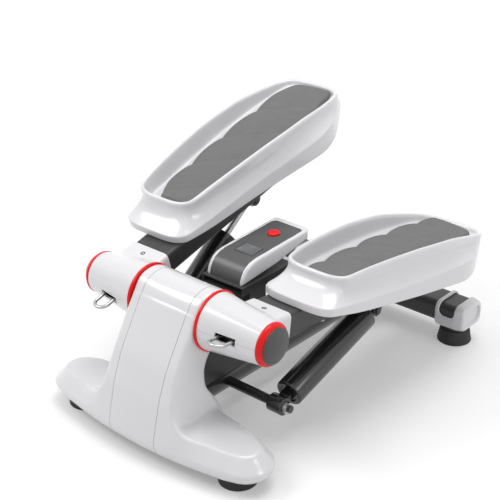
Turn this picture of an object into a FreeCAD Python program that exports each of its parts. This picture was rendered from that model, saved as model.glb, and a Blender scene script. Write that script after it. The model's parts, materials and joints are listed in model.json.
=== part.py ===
import FreeCAD, Part
import os

import Sketcher

from FreeCAD import Placement, Rotation, Vector

# Mini stepper. +X is the user's left, +Y runs from the front column to the rear crossbar, +Z is up.
# The origin is on the floor, under the middle of the machine's box. Millimetres and degrees.

DOC = FreeCAD.newDocument("mini_stepper")
SHEET = DOC.addObject("Spreadsheet::Sheet", "Sizes")


class Dim:
    """A size: its number now, and the sheet formula that gives it."""

    def __init__(self, number, formula):
        self.number = number
        self.formula = formula

    @staticmethod
    def of(value):
        return value if isinstance(value, Dim) else Dim(float(value), f"({float(value):g})")

    def join(self, sign, other, number):
        return Dim(number, f"({self.formula} {sign} {other.formula})")

    def __add__(self, other):
        other = Dim.of(other)
        return self.join("+", other, self.number + other.number)

    def __sub__(self, other):
        other = Dim.of(other)
        return self.join("-", other, self.number - other.number)

    def __mul__(self, other):
        other = Dim.of(other)
        return self.join("*", other, self.number * other.number)

    def __truediv__(self, other):
        other = Dim.of(other)
        return self.join("/", other, self.number / other.number)

    def __radd__(self, other):
        return Dim.of(other) + self

    def __rsub__(self, other):
        return Dim.of(other) - self

    def __rmul__(self, other):
        return Dim.of(other) * self

    def __neg__(self):
        return Dim(-self.number, f"(-{self.formula})")


def function_of(name, result, *inputs):
    """A sheet function of other sizes."""
    return Dim(result, f"{name}({'; '.join(Dim.of(item).formula for item in inputs)})")


def cosine(angle):
    turned = Rotation(Vector(0, 0, 1), angle.number).multVec(Vector(1, 0, 0))
    return function_of("cos", turned.x, angle)


def sine(angle):
    turned = Rotation(Vector(0, 0, 1), angle.number).multVec(Vector(1, 0, 0))
    return function_of("sin", turned.y, angle)


def hypotenuse(across, up):
    return function_of("sqrt", Vector(across.number, up.number, 0).Length, across * across + up * up)


SIZES = []


def size(alias, number, note):
    """Write one driving size in the sheet and return it."""
    SIZES.append(alias)
    row = len(SIZES)
    SHEET.set(f"A{row}", alias.replace("_", " "))
    SHEET.set(f"B{row}", str(number))
    SHEET.set(f"C{row}", note)
    SHEET.setAlias(f"B{row}", alias)
    return Dim(float(number), f"Sizes.{alias}")


# Clearances
running_gap = size("running_gap", 0.05, "radial clearance of a pin or shaft in its bore")
seat_gap = size("seat_gap", 0.1, "clearance of a part that is set into another")
cover_gap = size("cover_gap", 0.4, "clearance between a cover and what it encloses or turns beside")
seam = size("seam", 0.3, "visible joint line between two mouldings")

# Swing axis
axle_y = size("axle_y", -171, "axle, front to back")
axle_z = size("axle_z", 170, "axle height above the floor")
axle_radius = size("axle_radius", 10, "axle")
arm_x = size("arm_x", 98, "middle of an arm from the middle of the machine")
left_angle = size("left_angle", -6.5, "left arm above level at rest")
right_angle = size("right_angle", 15, "right arm above level at rest")

# Column casing
casing_wall = size("casing_wall", 3, "wall of the white mouldings")
column_half = size("column_half", 53.5, "half width of the column at the axle")
barrel_radius = size("barrel_radius", 38, "rounded top of the column")
panel_half = size("panel_half", 38, "half width of the centre panel")
wing_half = size("wing_half", 180, "half width of the foot casing")
wing_front = size("wing_front", 98, "front of the foot casing before the axle")
wing_rear = size("wing_rear", 6, "rear of the foot casing behind the axle")
wing_tip = size("wing_tip", 36, "radius of the foot casing's ends in plan")
wing_tip_y = size("wing_tip_y", 46, "centre of those ends before the axle")
wing_low = size("wing_low", 18, "lower edge of the foot casing")
wing_top = size("wing_top", 57, "top of the foot casing")
boss_x = size("boss_x", 100, "boss under the foot casing from the middle")
boss_radius = size("boss_radius", 6, "boss that stands on the crossmember")

# Frame
bar_depth = size("bar_depth", 40, "front crossmember, front to back")
bar_low = size("bar_low", 22, "underside of the front crossmember")
bar_high = size("bar_high", 46, "top of the front crossmember")
bar_half = size("bar_half", 150, "half length of the front crossmember")
bar_y = size("bar_y", 48, "front crossmember before the axle")
steel_wall = size("steel_wall", 2, "wall of the steel tubes")
post_half = size("post_half", 24, "half width of the front post")
head_radius = size("head_radius", 16, "boss at the top of the front post")
tube_radius = size("tube_radius", 26, "main tube")
tube_z = size("tube_z", 48, "height of the main tube's centre line")
spine_half = size("spine_half", 24, "half width of the spine box")
spine_top = size("spine_top", 100, "top of the spine box")
spine_start = size("spine_start", 4, "front of the spine box behind the axle")
spine_end = size("spine_end", 132, "rear of the spine box behind the axle")
rear_y = size("rear_y", 408, "rear crossbar behind the axle")
rear_depth = size("rear_depth", 48, "rear crossbar, front to back")
rear_low = size("rear_low", 31, "underside of the rear crossbar")
rear_high = size("rear_high", 62, "top of the rear crossbar")
rear_half = size("rear_half", 167, "half length of the rear crossbar")
rear_round = size("rear_round", 9, "corner radius of the rear crossbar")
cap_start = size("cap_start", 125, "inner edge of a rear end cap")
cap_end = size("cap_end", 172, "outer face of a rear end cap")
cap_wall = size("cap_wall", 3.5, "wall of a rear end cap")
cap_strap = size("cap_strap", 7, "width of the end cap's strap")
cap_window = size("cap_window", 16, "end cap's window below the top of the crossbar")
cap_solid = size("cap_solid", 10, "window's outer edge from the end of the crossbar")
cup_depth = size("cup_depth", 3, "recess in the end cap's outer face")
cup_rim = size("cup_rim", 6, "edge of that recess inside the crossbar's section")
joint_half = size("joint_half", 34, "half width of the cover over the tube's rear joint")
joint_length = size("joint_length", 32, "length of that cover")
joint_drop = size("joint_drop", 8, "lower edge of that cover below the tube's centre line")
joint_rise = size("joint_rise", 31, "top of that cover above the tube's centre line")
joint_round = size("joint_round", 8, "rounded upper edges of that cover")

# Feet
foot_radius = size("foot_radius", 24.5, "foot at the floor")
foot_neck = size("foot_neck", 20, "foot at its top")
front_foot_x = size("front_foot_x", 132, "front foot from the middle")
rear_foot_x = size("rear_foot_x", 145, "rear foot from the middle")
bolt_radius = size("bolt_radius", 4, "foot bolt")
bolt_head = size("bolt_head", 7, "foot bolt's head")
head_low = size("head_low", 5, "underside of the foot bolt's head above the floor")
head_high = size("head_high", 10, "top of the foot bolt's head above the floor")

# Hubs
hub_reach = size("hub_reach", 42, "outer end of a hub cover beyond the arm's middle")
hub_large = size("hub_large", 37.5, "hub cover radius beside the column")
hub_small = size("hub_small", 27.5, "hub cover radius at the outer end")
hub_wall = size("hub_wall", 2.5, "wall of the hub covers")
ring_proud = size("ring_proud", 1.8, "inner ring proud of the hub cover")
ring_width = size("ring_width", 4, "width of the inner ring")
ring_gap = size("ring_gap", 0.5, "inner ring from the side of the column")
rim_radius = size("rim_radius", 28, "outer ring beside the hub cover")
rim_small = size("rim_small", 23.8, "outer ring at its outer face")
rim_width = size("rim_width", 8.4, "width of the outer ring")
rim_bore = size("rim_bore", 20, "bore of the outer ring")
cap_bulge = size("cap_bulge", 5.5, "height of the hub's end cap")
sleeve_radius = size("sleeve_radius", 17, "arm's pivot sleeve")
bush_radius = size("bush_radius", 13, "outside of a hub bush")
bush_length = size("bush_length", 20, "length of a hub bush")
flange = size("flange", 1.6, "flange of a hub bush")
block_end = size("block_end", 50, "rear of the hub cover's block")
block_wall = size("block_wall", 2.6, "wall of that block")
block_round = size("block_round", 5, "rounded edges of that block")
screw_back = size("screw_back", 13, "hub screw before the block's rear")
screw_head = size("screw_head", 4, "hub screw's head")
screw_shank = size("screw_shank", 2, "hub screw's shank")
screw_sink = size("screw_sink", 1.5, "depth of the hub screw's countersink")
slot_half = size("slot_half", 14.5, "half width of the slot for the D-ring")
slot_rise = size("slot_rise", 5, "half height of that slot")
ring_radius = hub_large + ring_proud
hub_start = column_half + ring_gap + ring_width
hub_end = arm_x + hub_reach

# Arms, in each arm's own frame: along the arm from the axle, and square to it
arm_half = size("arm_half", 29, "half width of the arm tube")
arm_low = size("arm_low", 12, "underside of the arm tube below the axle")
arm_high = size("arm_high", 18, "top of the arm tube above the axle")
arm_start = size("arm_start", 6, "front of the arm tube")
arm_length = size("arm_length", 320, "rear end of the arm tube from the axle")
eye_radius = size("eye_radius", 10, "middle of the D-ring's bend")
eye_wire = size("eye_wire", 2.3, "radius of the D-ring's wire")
eye_reach = size("eye_reach", 44, "centre of the D-ring's bend from the axle")

# Pedals
pedal_shift = size("pedal_shift", 19, "middle of a pedal beyond the arm's middle")
pedal_front = size("pedal_front", 71, "front of a pedal from the axle")
pedal_length = size("pedal_length", 369, "length of a pedal")
pedal_half = size("pedal_half", 70, "half width of a pedal")
pedal_lip = size("pedal_lip", 5, "thickness of the pedal's rim")
pedal_skin = size("pedal_skin", 3, "thickness of the pedal's skirt and floor")
seat_height = size("seat_height", 38, "pedal floor above the axle")
band_height = size("band_height", 24, "top of the pedal's skirt above the axle")
pad_front = size("pad_front", 118, "front of a pad from the axle")
pad_tail = size("pad_tail", 11, "rear of a pad before the pedal's rear")
pad_half = size("pad_half", 46, "half width of a pad")
pad_thick = size("pad_thick", 7, "thickness of a pad")
fixing_radius = size("fixing_radius", 3, "pedal bolt")
fixing_head = size("fixing_head", 5.5, "pedal bolt's head")
fixing_boss = size("fixing_boss", 8, "boss in the pedal for its bolt")
pedal_x = arm_x + pedal_shift
pad_length = pedal_front + pedal_length - pad_front - pad_tail

# Dampers
damper_shift = size("damper_shift", 11, "damper beyond the arm's middle")
damper_y = size("damper_y", 55, "lower damper pivot behind the axle")
damper_z = size("damper_z", 47, "height of the lower damper pivot")
ear_reach = size("ear_reach", 251, "upper damper pivot along the arm")
ear_drop = size("ear_drop", 37, "upper damper pivot below the arm's centre line")
damper_radius = size("damper_radius", 19, "damper barrel")
damper_bore = size("damper_bore", 16.2, "bore of the damper barrel")
damper_start = size("damper_start", 20, "lower end of the barrel from its pivot")
damper_end = size("damper_end", 184, "upper end of the barrel from its pivot")
rod_radius = size("rod_radius", 5, "damper rod")
lower_eye = size("lower_eye", 12, "damper's lower eye")
lower_pin = size("lower_pin", 5, "pin of the lower eye")
upper_eye = size("upper_eye", 10.5, "damper's upper eye")
upper_bore = size("upper_bore", 7, "bore of the upper eye, larger than its bolt to let it float")
upper_pin = size("upper_pin", 4, "bolt of the upper eye")
crossbar_radius = size("crossbar_radius", 6.5, "damper crossbar")
lower_half = size("lower_half", 11, "half length of the lower eye")
upper_half = size("upper_half", 8, "half length of the upper eye")
ear_half = size("ear_half", 12.5, "outside of the damper ears from the damper's middle")
ear_inside = size("ear_inside", 8.6, "inside of the damper ears from the damper's middle")
ear_front = size("ear_front", 9, "front of the damper ears before the pivot")
ear_rear = size("ear_rear", 14, "rear of the damper ears behind the pivot")
ear_below = size("ear_below", 8, "lower end of the damper ears below the pivot")
pin_head = size("pin_head", 6.5, "head and nut of the damper bolt")
pin_end = size("pin_end", 17, "ends of the damper bolt from the damper's middle")
neck_radius = size("neck_radius", 9, "neck between barrel and lower eye")
collar_radius = size("collar_radius", 8, "collar at the top of the barrel")
collar_rise = size("collar_rise", 3, "collar above the barrel")
piston_length = size("piston_length", 8, "piston")
rod_length = size("rod_length", 168, "piston's face from the upper pivot at rest")
damper_x = arm_x + damper_shift

# Rocker that links the arms
rocker_y = size("rocker_y", 62, "rocker behind the axle")
rocker_half = size("rocker_half", 8, "half width of the rocker beam")
pad_ball = size("pad_ball", 10, "radius of the rocker's rubbing pads")
rocker_pin = size("rocker_pin", 5, "rocker's pivot pin")
rocker_hub = size("rocker_hub", 9, "boss around that pin")
beam_high = size("beam_high", 2, "top of the rocker beam below its pivot")
beam_low = size("beam_low", 8, "underside of the rocker beam below its pivot")
cheek_half = size("cheek_half", 13, "half width of the rocker bracket")
cheek = size("cheek", 4.6, "thickness of the rocker bracket's cheeks")
cheek_base = size("cheek_base", 4, "thickness of its base")

# Console
console_half = size("console_half", 31, "half width of the console")
face_half = size("face_half", 25, "half width of the console's dark face")
console_front = size("console_front", 77, "front of the console behind the axle")
console_rear = size("console_rear", 213, "rear of the console behind the axle")
console_rise = size("console_rise", 6, "lowest edge of the console above the axle")
console_depth = size("console_depth", 32.5, "console from its lowest edge to its highest")
console_wall = size("console_wall", 2.5, "wall of the console body")
face_thick = size("face_thick", 1.6, "thickness of the console's face")
face_rear = size("face_rear", 8, "rear of the face before the console's rear")
screen_x = size("screen_x", 3, "middle of the screen from the middle of the machine")
screen_y = size("screen_y", 121, "middle of the screen behind the axle")
screen_half = size("screen_half", 15, "half width of the screen")
screen_depth = size("screen_depth", 12.5, "half depth of the screen")
tray_half = size("tray_half", 34, "half width of the flat tube under the console")
tray_start = size("tray_start", 73, "front of that tube behind the axle")
tray_end = size("tray_end", 172, "rear of that tube behind the axle")
tray_drop = size("tray_drop", 5.5, "underside of that tube below the axle")
stand_half = size("stand_half", 26, "half width of the console post")
stand_start = size("stand_start", 96, "front of the console post behind the axle")
stand_end = size("stand_end", 128, "rear of the console post behind the axle")
button_radius = size("button_radius", 9, "push button")
button_y = size("button_y", 174, "push button behind the axle")
button_rise = size("button_rise", 1.6, "push button above the face")
board_drop = size("board_drop", 10, "top of the circuit board below the console's highest edge")
board_thick = size("board_thick", 1.5, "circuit board")
board_half = size("board_half", 20, "half width of the circuit board")
board_front = size("board_front", 63, "front of the circuit board before the console's rear")
board_rear = size("board_rear", 15, "rear of the circuit board before the console's rear")
tray_low = axle_z - tray_drop
console_low = axle_z + console_rise
console_high = console_low + console_depth

PARTS = []
AXIS_TURN = {
    "X": Rotation(Vector(0, 1, 0), 90),
    "Y": Rotation(Vector(1, 0, 0), -90),
    "Z": Rotation(),
}


def part(thing, label):
    """Name a finished sub-part."""
    thing.Label = label
    PARTS.append(thing)
    return thing


def move(thing, x=0, y=0, z=0):
    """Bind where a piece stands."""
    for axis, value in zip("xyz", (x, y, z)):
        thing.setExpression(f"Placement.Base.{axis}", Dim.of(value).formula)
    return thing


def tilt(thing, y, z, angle):
    """Stand a piece, built level on the X axis, at (y, z) and turn it up by the angle."""
    place = f"vector(0; {Dim.of(y).formula}; {Dim.of(z).formula})"
    turn = f"rotation(vector(1; 0; 0); {Dim.of(angle).formula})"
    thing.setExpression("Placement", f"placement({place}; {turn})")
    return thing


def box(x, y, z):
    """A box from three (low, high) pairs."""
    solid = DOC.addObject("Part::Box", "Box")
    for name, (low, high) in zip(("Length", "Width", "Height"), (x, y, z)):
        solid.setExpression(name, (Dim.of(high) - low).formula)
    return move(solid, x[0], y[0], z[0])


def round_bar(axis, radius, run, *centre, tip=None):
    """A cylinder, or a cone where tip is given, along an axis from run[0] to run[1]."""
    low, high = (Dim.of(end) for end in run)
    solid = DOC.addObject("Part::Cylinder" if tip is None else "Part::Cone", "Round")
    solid.setExpression("Height", (high - low).formula)
    if tip is None:
        solid.setExpression("Radius", Dim.of(radius).formula)
    else:
        solid.setExpression("Radius1", Dim.of(radius).formula)
        solid.setExpression("Radius2", Dim.of(tip).formula)
    solid.Placement = Placement(Vector(), AXIS_TURN[axis])
    across = list(centre)
    spot = [low if name == axis else across.pop(0) for name in "XYZ"]
    return move(solid, *spot)


def fuse(*solids):
    whole = DOC.addObject("Part::MultiFuse", "Fused")
    whole.Shapes = list(solids)
    whole.Refine = True
    return whole


def group(*solids):
    """Identical pieces that share one node, as separate solids."""
    whole = DOC.addObject("Part::Compound", "Group")
    whole.Links = list(solids)
    return whole


def cut(base, *tools):
    whole = DOC.addObject("Part::Cut", "Cut")
    whole.Base = base
    whole.Tool = tools[0] if len(tools) == 1 else group(*tools)
    return whole


def common(first, second):
    whole = DOC.addObject("Part::Common", "Common")
    whole.Base = first
    whole.Tool = second
    return whole


def round_edges(solid, radius, choose):
    """Fillet the straight edges of a solid that choose(edge) picks."""
    DOC.recompute()
    fillet = DOC.addObject("Part::Fillet", "Rounded")
    fillet.Base = solid
    picked = [at for at, edge in enumerate(solid.Shape.Edges, 1) if choose(edge)]
    fillet.Edges = [(at, radius.number, radius.number) for at in picked]
    return fillet


def along(edge, axis):
    """Whether an edge is straight and parallel to an axis."""
    if len(edge.Vertexes) != 2 or edge.Curve.TypeId != "Part::GeomLine":
        return False
    return abs(edge.tangentAt(edge.FirstParameter).dot(axis)) > 0.999


def span(sign, near, far):
    """The (low, high) pair of a stretch on one side of the machine."""
    return (near, far) if sign > 0 else (-Dim.of(far), -Dim.of(near))


def side_bar(sign, radius, near, far, y=0, z=0, tip=None):
    """A cylinder or cone along X on one side, with its tip radius at the far end."""
    if tip is not None and sign < 0:
        radius, tip = tip, radius
    return round_bar("X", radius, span(sign, near, far), y, z, tip=tip)


def origin_plane(body, role):
    return next(item for item in body.Origin.OriginFeatures if item.Role == role)


def new_body(name):
    return DOC.addObject("PartDesign::Body", name)


def outline(body, role, offset, start, *steps):
    """A closed sketch through corners tied to the sheet: (x, y) ends a line, (mx, my, x, y) an arc."""
    sketch = body.newObject("Sketcher::SketchObject", "Outline")
    sketch.AttachmentSupport = (origin_plane(body, role), "")
    sketch.MapMode = "FlatFace"
    sketch.setExpression("AttachmentOffset.Base.z", Dim.of(offset).formula)

    def hold(geometry, point, corner):
        for kind, value in zip(("DistanceX", "DistanceY"), corner):
            value = Dim.of(value)
            at = sketch.addConstraint(Sketcher.Constraint(kind, -1, 1, geometry, point, value.number))
            sketch.setExpression(f"Constraints[{at}]", value.formula)

    def spot(corner):
        return Vector(Dim.of(corner[0]).number, Dim.of(corner[1]).number, 0)

    ends = []
    last = start
    for step in steps:
        through, corner = step[:-2], step[-2:]
        if through:
            turn = (spot(through) - spot(last)).cross(spot(corner) - spot(through)).z
            first, second = (1, 2) if turn > 0 else (2, 1)
            near, far = (last, corner) if turn > 0 else (corner, last)
            geometry = sketch.addGeometry(Part.Arc(spot(near), spot(through), spot(far)), False)
        else:
            geometry = sketch.addGeometry(Part.LineSegment(spot(last), spot(corner)), False)
            first, second = 1, 2
        if ends:
            joint = Sketcher.Constraint("Coincident", ends[-1][0], ends[-1][2], geometry, first)
            sketch.addConstraint(joint)
        hold(geometry, second, corner)
        if through:
            mark = sketch.addGeometry(Part.Point(spot(through)), True)
            hold(mark, 1, through)
            sketch.addConstraint(Sketcher.Constraint("PointOnObject", mark, 1, geometry))
        ends.append((geometry, first, second))
        last = corner
    sketch.addConstraint(Sketcher.Constraint("Coincident", ends[-1][0], ends[-1][2], ends[0][0], ends[0][1]))
    return sketch


def pad(body, sketch, length):
    feature = body.newObject("PartDesign::Pad", "Pad")
    feature.Profile = sketch
    feature.setExpression("Length", Dim.of(length).formula)
    sketch.Visibility = False
    return feature


def loft(body, sketches):
    feature = body.newObject("PartDesign::AdditiveLoft", "Loft")
    feature.Profile = sketches[0]
    feature.Sections = sketches[1:]
    feature.Ruled = True
    return feature


def side_profile(name, x, start, *steps):
    """A body padded across the machine from an outline in the Y-Z plane, measured from the axle."""
    body = new_body(name)
    low, high = (Dim.of(end) for end in x)
    pad(body, outline(body, "YZ_Plane", low, start, *steps), high - low)
    return move(body, 0, axle_y, 0)


CORNER = 1 - 0.5 ** 0.5


def rounded_rectangle(y, z, radius):
    """Outline steps of a rectangle with round corners, anticlockwise from its lower left."""
    low_y, high_y = (Dim.of(end) for end in y)
    low_z, high_z = (Dim.of(end) for end in z)
    near, inner = radius * CORNER, radius
    return [
        (low_y + inner, low_z),
        (high_y - inner, low_z),
        (high_y - near, low_z + near, high_y, low_z + inner),
        (high_y, high_z - inner),
        (high_y - near, high_z - near, high_y - inner, high_z),
        (low_y + inner, high_z),
        (low_y + near, high_z - near, low_y, high_z - inner),
        (low_y, low_z + inner),
        (low_y + near, low_z + near, low_y + inner, low_z),
    ]


# ---- Column and foot casing ----

def wing_section(body, level, inset):
    """The foot casing's plan: a shallow front arc, a shallow rear arc and two round ends."""
    tip = wing_tip - inset
    tip_x = wing_half - wing_tip
    tip_y = -wing_tip_y
    front, rear = inset - wing_front, wing_rear - inset

    def tangent(edge, radius):
        """Centre on the middle line, and where its arc meets the round end."""
        reach = edge + radius
        centre = (tip_x * tip_x + tip_y * tip_y - reach * reach) / (2 * (tip_y - reach))
        ratio = radius / (reach - centre)
        return tip_x - tip_x * ratio, tip_y - (tip_y - centre) * ratio

    front_x, front_y = tangent(front, tip)
    back_x, back_y = tangent(rear, -tip)
    return outline(
        body, "XY_Plane", level, (-front_x, front_y),
        (0, front, front_x, front_y),
        (tip_x + tip, tip_y, back_x, back_y),
        (0, rear, -back_x, back_y),
        (-tip_x - tip, tip_y, -front_x, front_y),
    )


COLUMN = (  # level, width beyond the column at the axle, front and rear from the axle
    (26, 18.5, -93, 4),
    (60, 10.5, -92, -4),
    (axle_z - 82, 3.5, -85, -22),
    (axle_z - 46, 0, -71, -14),
    (axle_z - 20, 0, -59, 12),
    (axle_z + 3, 0, -37, 35),
)
WING_LEVELS = (  # above the lower edge or below the top, and the draft at that level
    (0, 8),
    (18, 0),
    (-7, 3),
    (0, 12),
)


def casing_form(name, inset):
    """The outside of the column casing, or its inside when inset by the wall."""
    body = new_body(name)
    bases = (wing_low - inset, wing_low, wing_top - inset, wing_top - inset)
    loft(body, [wing_section(body, base + shift, inset + draft)
                for base, (shift, draft) in zip(bases, WING_LEVELS)])
    sections = []
    for level, spread, front, rear in COLUMN:
        side, near, far = spread + column_half - inset, front + inset, rear - inset
        sections.append(outline(
            body, "XY_Plane", level, (-side, near), (side, near), (side, far), (-side, far), (-side, near)))
    loft(body, sections)
    barrel = round_bar("X", barrel_radius - inset, (inset - column_half, column_half - inset), axle_y, axle_z)
    return fuse(move(body, 0, axle_y, 0), barrel)


def casing():
    outside = casing_form("casing_outside", Dim.of(0))
    inside = casing_form("casing_inside", casing_wall)
    tunnel = round_bar("Y", tube_radius + cover_gap, (axle_y - 20, axle_y + 40), 0, tube_z)
    bore = round_bar("X", axle_radius + cover_gap, (-column_half - 1, column_half + 1), axle_y, axle_z)
    rise = (bar_high + seat_gap, wing_top - casing_wall + 1)
    bosses = [round_bar("Z", boss_radius, rise, sign * boss_x, axle_y - bar_y) for sign in (1, -1)]
    shell = cut(outside, inside, tunnel, bore)
    shell = fuse(shell, *bosses)
    reach, height = wing_half + 10, axle_z + 60
    depth = (axle_y - wing_front - 10, axle_y + 60)
    cuts = {
        "left_casing": (panel_half + seam, reach),
        "right_casing": (-reach, -panel_half - seam),
        "centre_panel": (-panel_half, panel_half),
    }
    for label, width in cuts.items():
        part(common(shell, box(width, depth, (0, height))), label)


# ---- Steel frame ----

def post_outline():
    """The front post from the side: up its front edge in reverse, from the axle as (y, z)."""
    knee, neck = axle_z - 82, axle_z - 46
    front = [(-12, axle_z), (-50, neck), (-68, knee), (-76, bar_high)]
    rear = [(-50, bar_high), (-34, knee), (-20, neck), (8, axle_z - 8)]
    return front[-1:] + rear + front


def frame():
    near, far = axle_y - bar_y - bar_depth / 2, axle_y - bar_y + bar_depth / 2
    holes = [
        round_bar("Z", bolt_radius + seat_gap, (bar_low - 1, bar_low + steel_wall + 1), sign * front_foot_x,
                  axle_y - bar_y)
        for sign in (1, -1)
    ]
    bar = box((-bar_half, bar_half), (near, far), (bar_low, bar_high))
    room = box((-bar_half - 1, bar_half + 1), (near + steel_wall, far - steel_wall),
               (bar_low + steel_wall, bar_high - steel_wall))
    part(cut(bar, room, *holes), "front_crossmember")

    lean = side_profile("post_profile", (-post_half, post_half), *post_outline())
    head = round_bar("X", head_radius, (-post_half, post_half), axle_y, axle_z)
    bore = round_bar("X", axle_radius + running_gap, (-post_half - 1, post_half + 1), axle_y, axle_z)
    part(cut(fuse(lean, head), bore), "front_post")

    axle_end = hub_end - 2 * flange
    rod = round_bar("X", axle_radius, (-axle_end, axle_end), axle_y, axle_z)
    taps = [side_bar(sign, bolt_radius + seat_gap, axle_end - 20, axle_end + 1, axle_y, axle_z)
            for sign in (1, -1)]
    part(cut(rod, *taps), "axle")
    nuts = []
    for sign in (1, -1):
        washer = side_bar(sign, bush_radius, hub_end - 0.3, hub_end + 1.7, axle_y, axle_z)
        head_of_bolt = side_bar(sign, bolt_head, hub_end + 1.7, hub_end + 6, axle_y, axle_z)
        shank = side_bar(sign, bolt_radius, axle_end - 18, hub_end + 1.7, axle_y, axle_z)
        nuts.append(fuse(washer, head_of_bolt, shank))
    part(group(*nuts), "axle_end_bolts")

    tube_end = axle_y + rear_y - rear_depth / 2
    outer = round_bar("Y", tube_radius, (far, tube_end), 0, tube_z)
    inner = round_bar("Y", tube_radius - steel_wall, (far - 1, tube_end + 1), 0, tube_z)
    cross_hole = round_bar("X", crossbar_radius + running_gap, (-tube_radius - 1, tube_radius + 1),
                           axle_y + damper_y, damper_z)
    part(cut(outer, inner, cross_hole), "main_tube")

    start, end = axle_y + spine_start, axle_y + spine_end
    spine = box((-spine_half, spine_half), (start, end), (tube_z + 10, spine_top))
    room = box((steel_wall - spine_half, spine_half - steel_wall), (start + steel_wall, end - steel_wall),
               (tube_z, spine_top - steel_wall))
    saddle = round_bar("Y", tube_radius + running_gap, (start - 1, end + 1), 0, tube_z)
    part(cut(spine, room, saddle), "spine_box")


def rear_section(name, x, grow):
    """A length of the rear crossbar's section, grown by the given wall."""
    front, back = rear_y - rear_depth / 2 - grow, rear_y + rear_depth / 2 + grow
    return side_profile(name, x, *rounded_rectangle((front, back), (rear_low - grow, rear_high + grow),
                                                    rear_round + grow))


def rear_end():
    outer = rear_section("crossbar_outside", (-rear_half, rear_half), Dim.of(0))
    inner = rear_section("crossbar_inside", (-rear_half - 1, rear_half + 1), -steel_wall)
    holes = [
        round_bar("Z", bolt_radius + seat_gap, (rear_low - 1, rear_low + steel_wall + 1), sign * rear_foot_x,
                  axle_y + rear_y)
        for sign in (1, -1)
    ]
    part(cut(outer, inner, *holes), "rear_crossbar")

    for label, sign in (("left", 1), ("right", -1)):
        shell = rear_section(f"{label}_cap_outside", span(sign, cap_start, cap_end), cap_wall)
        inside = span(sign, cap_start - 1, rear_half + seat_gap)
        socket = rear_section(f"{label}_cap_socket", inside, seat_gap)
        window = box(
            span(sign, cap_start + cap_strap, rear_half - cap_solid),
            (axle_y + rear_y - rear_depth, axle_y + rear_y + rear_depth),
            (rear_high - cap_window, rear_high + 20))
        hollow = rear_section(f"{label}_cap_hollow", span(sign, cap_end - cup_depth, cap_end + 1), -cup_rim)
        hole = round_bar("Z", bolt_radius + seat_gap, (rear_low - cap_wall - 1, rear_low), sign * rear_foot_x,
                         axle_y + rear_y)
        part(cut(shell, socket, window, hollow, hole), f"{label}_rear_cap")

    cover_end = axle_y + rear_y - rear_depth / 2
    cover = box((-joint_half, joint_half), (cover_end - joint_length, cover_end - seat_gap),
                (tube_z - joint_drop, tube_z + joint_rise))
    cover = round_edges(cover, joint_round,
                        lambda edge: along(edge, Vector(0, 1, 0)) and edge.CenterOfMass.z > tube_z.number)
    saddle = round_bar("Y", tube_radius + seat_gap, (cover_end - joint_length - 1, cover_end + 1), 0, tube_z)
    part(cut(cover, saddle), "tube_joint_cover")


def feet():
    """Four rubber feet and the bolts that hold them."""
    bolts = []
    places = (
        ("front_left_foot", front_foot_x, axle_y - bar_y, bar_low, 10),
        ("front_right_foot", -front_foot_x, axle_y - bar_y, bar_low, 10),
        ("rear_left_foot", rear_foot_x, axle_y + rear_y, rear_low - cap_wall, 12),
        ("rear_right_foot", -rear_foot_x, axle_y + rear_y, rear_low - cap_wall, 12),
    )
    for label, x, y, top, grip in places:
        foot = round_bar("Z", foot_radius, (0, top), x, y, tip=foot_neck)
        recess = round_bar("Z", bolt_head + seat_gap, (-1, head_high), x, y)
        hole = round_bar("Z", bolt_radius + seat_gap, (head_low, top + 1), x, y)
        part(cut(foot, recess, hole), label)
        head = round_bar("Z", bolt_head, (head_low, head_high), x, y)
        shank = round_bar("Z", bolt_radius, (head_high, top + grip), x, y)
        bolts.append(fuse(head, shank))
    part(group(*bolts), "foot_bolts")


def damper_crossbar():
    y, z = axle_y + damper_y, damper_z
    near, far = damper_x - lower_half - cover_gap, damper_x + lower_half + cover_gap
    middle = round_bar("X", crossbar_radius, (-near, near), y, z)
    pins = [side_bar(sign, lower_pin, near - 1, far + 9, y, z) for sign in (1, -1)]
    part(fuse(middle, *pins), "damper_crossbar")
    nuts = [cut(side_bar(sign, 8, far, far + 6, y, z),
                side_bar(sign, lower_pin + running_gap, far - 1, far + 7, y, z)) for sign in (1, -1)]
    part(group(*nuts), "damper_nuts")


# ---- Rocker ----

def pad_height(angle):
    """Where a rubbing pad's centre lies when it is just under an arm at this angle."""
    reach = -(arm_low + pad_ball + cover_gap) + rocker_y * sine(angle)
    return axle_z + reach / cosine(angle)


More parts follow.
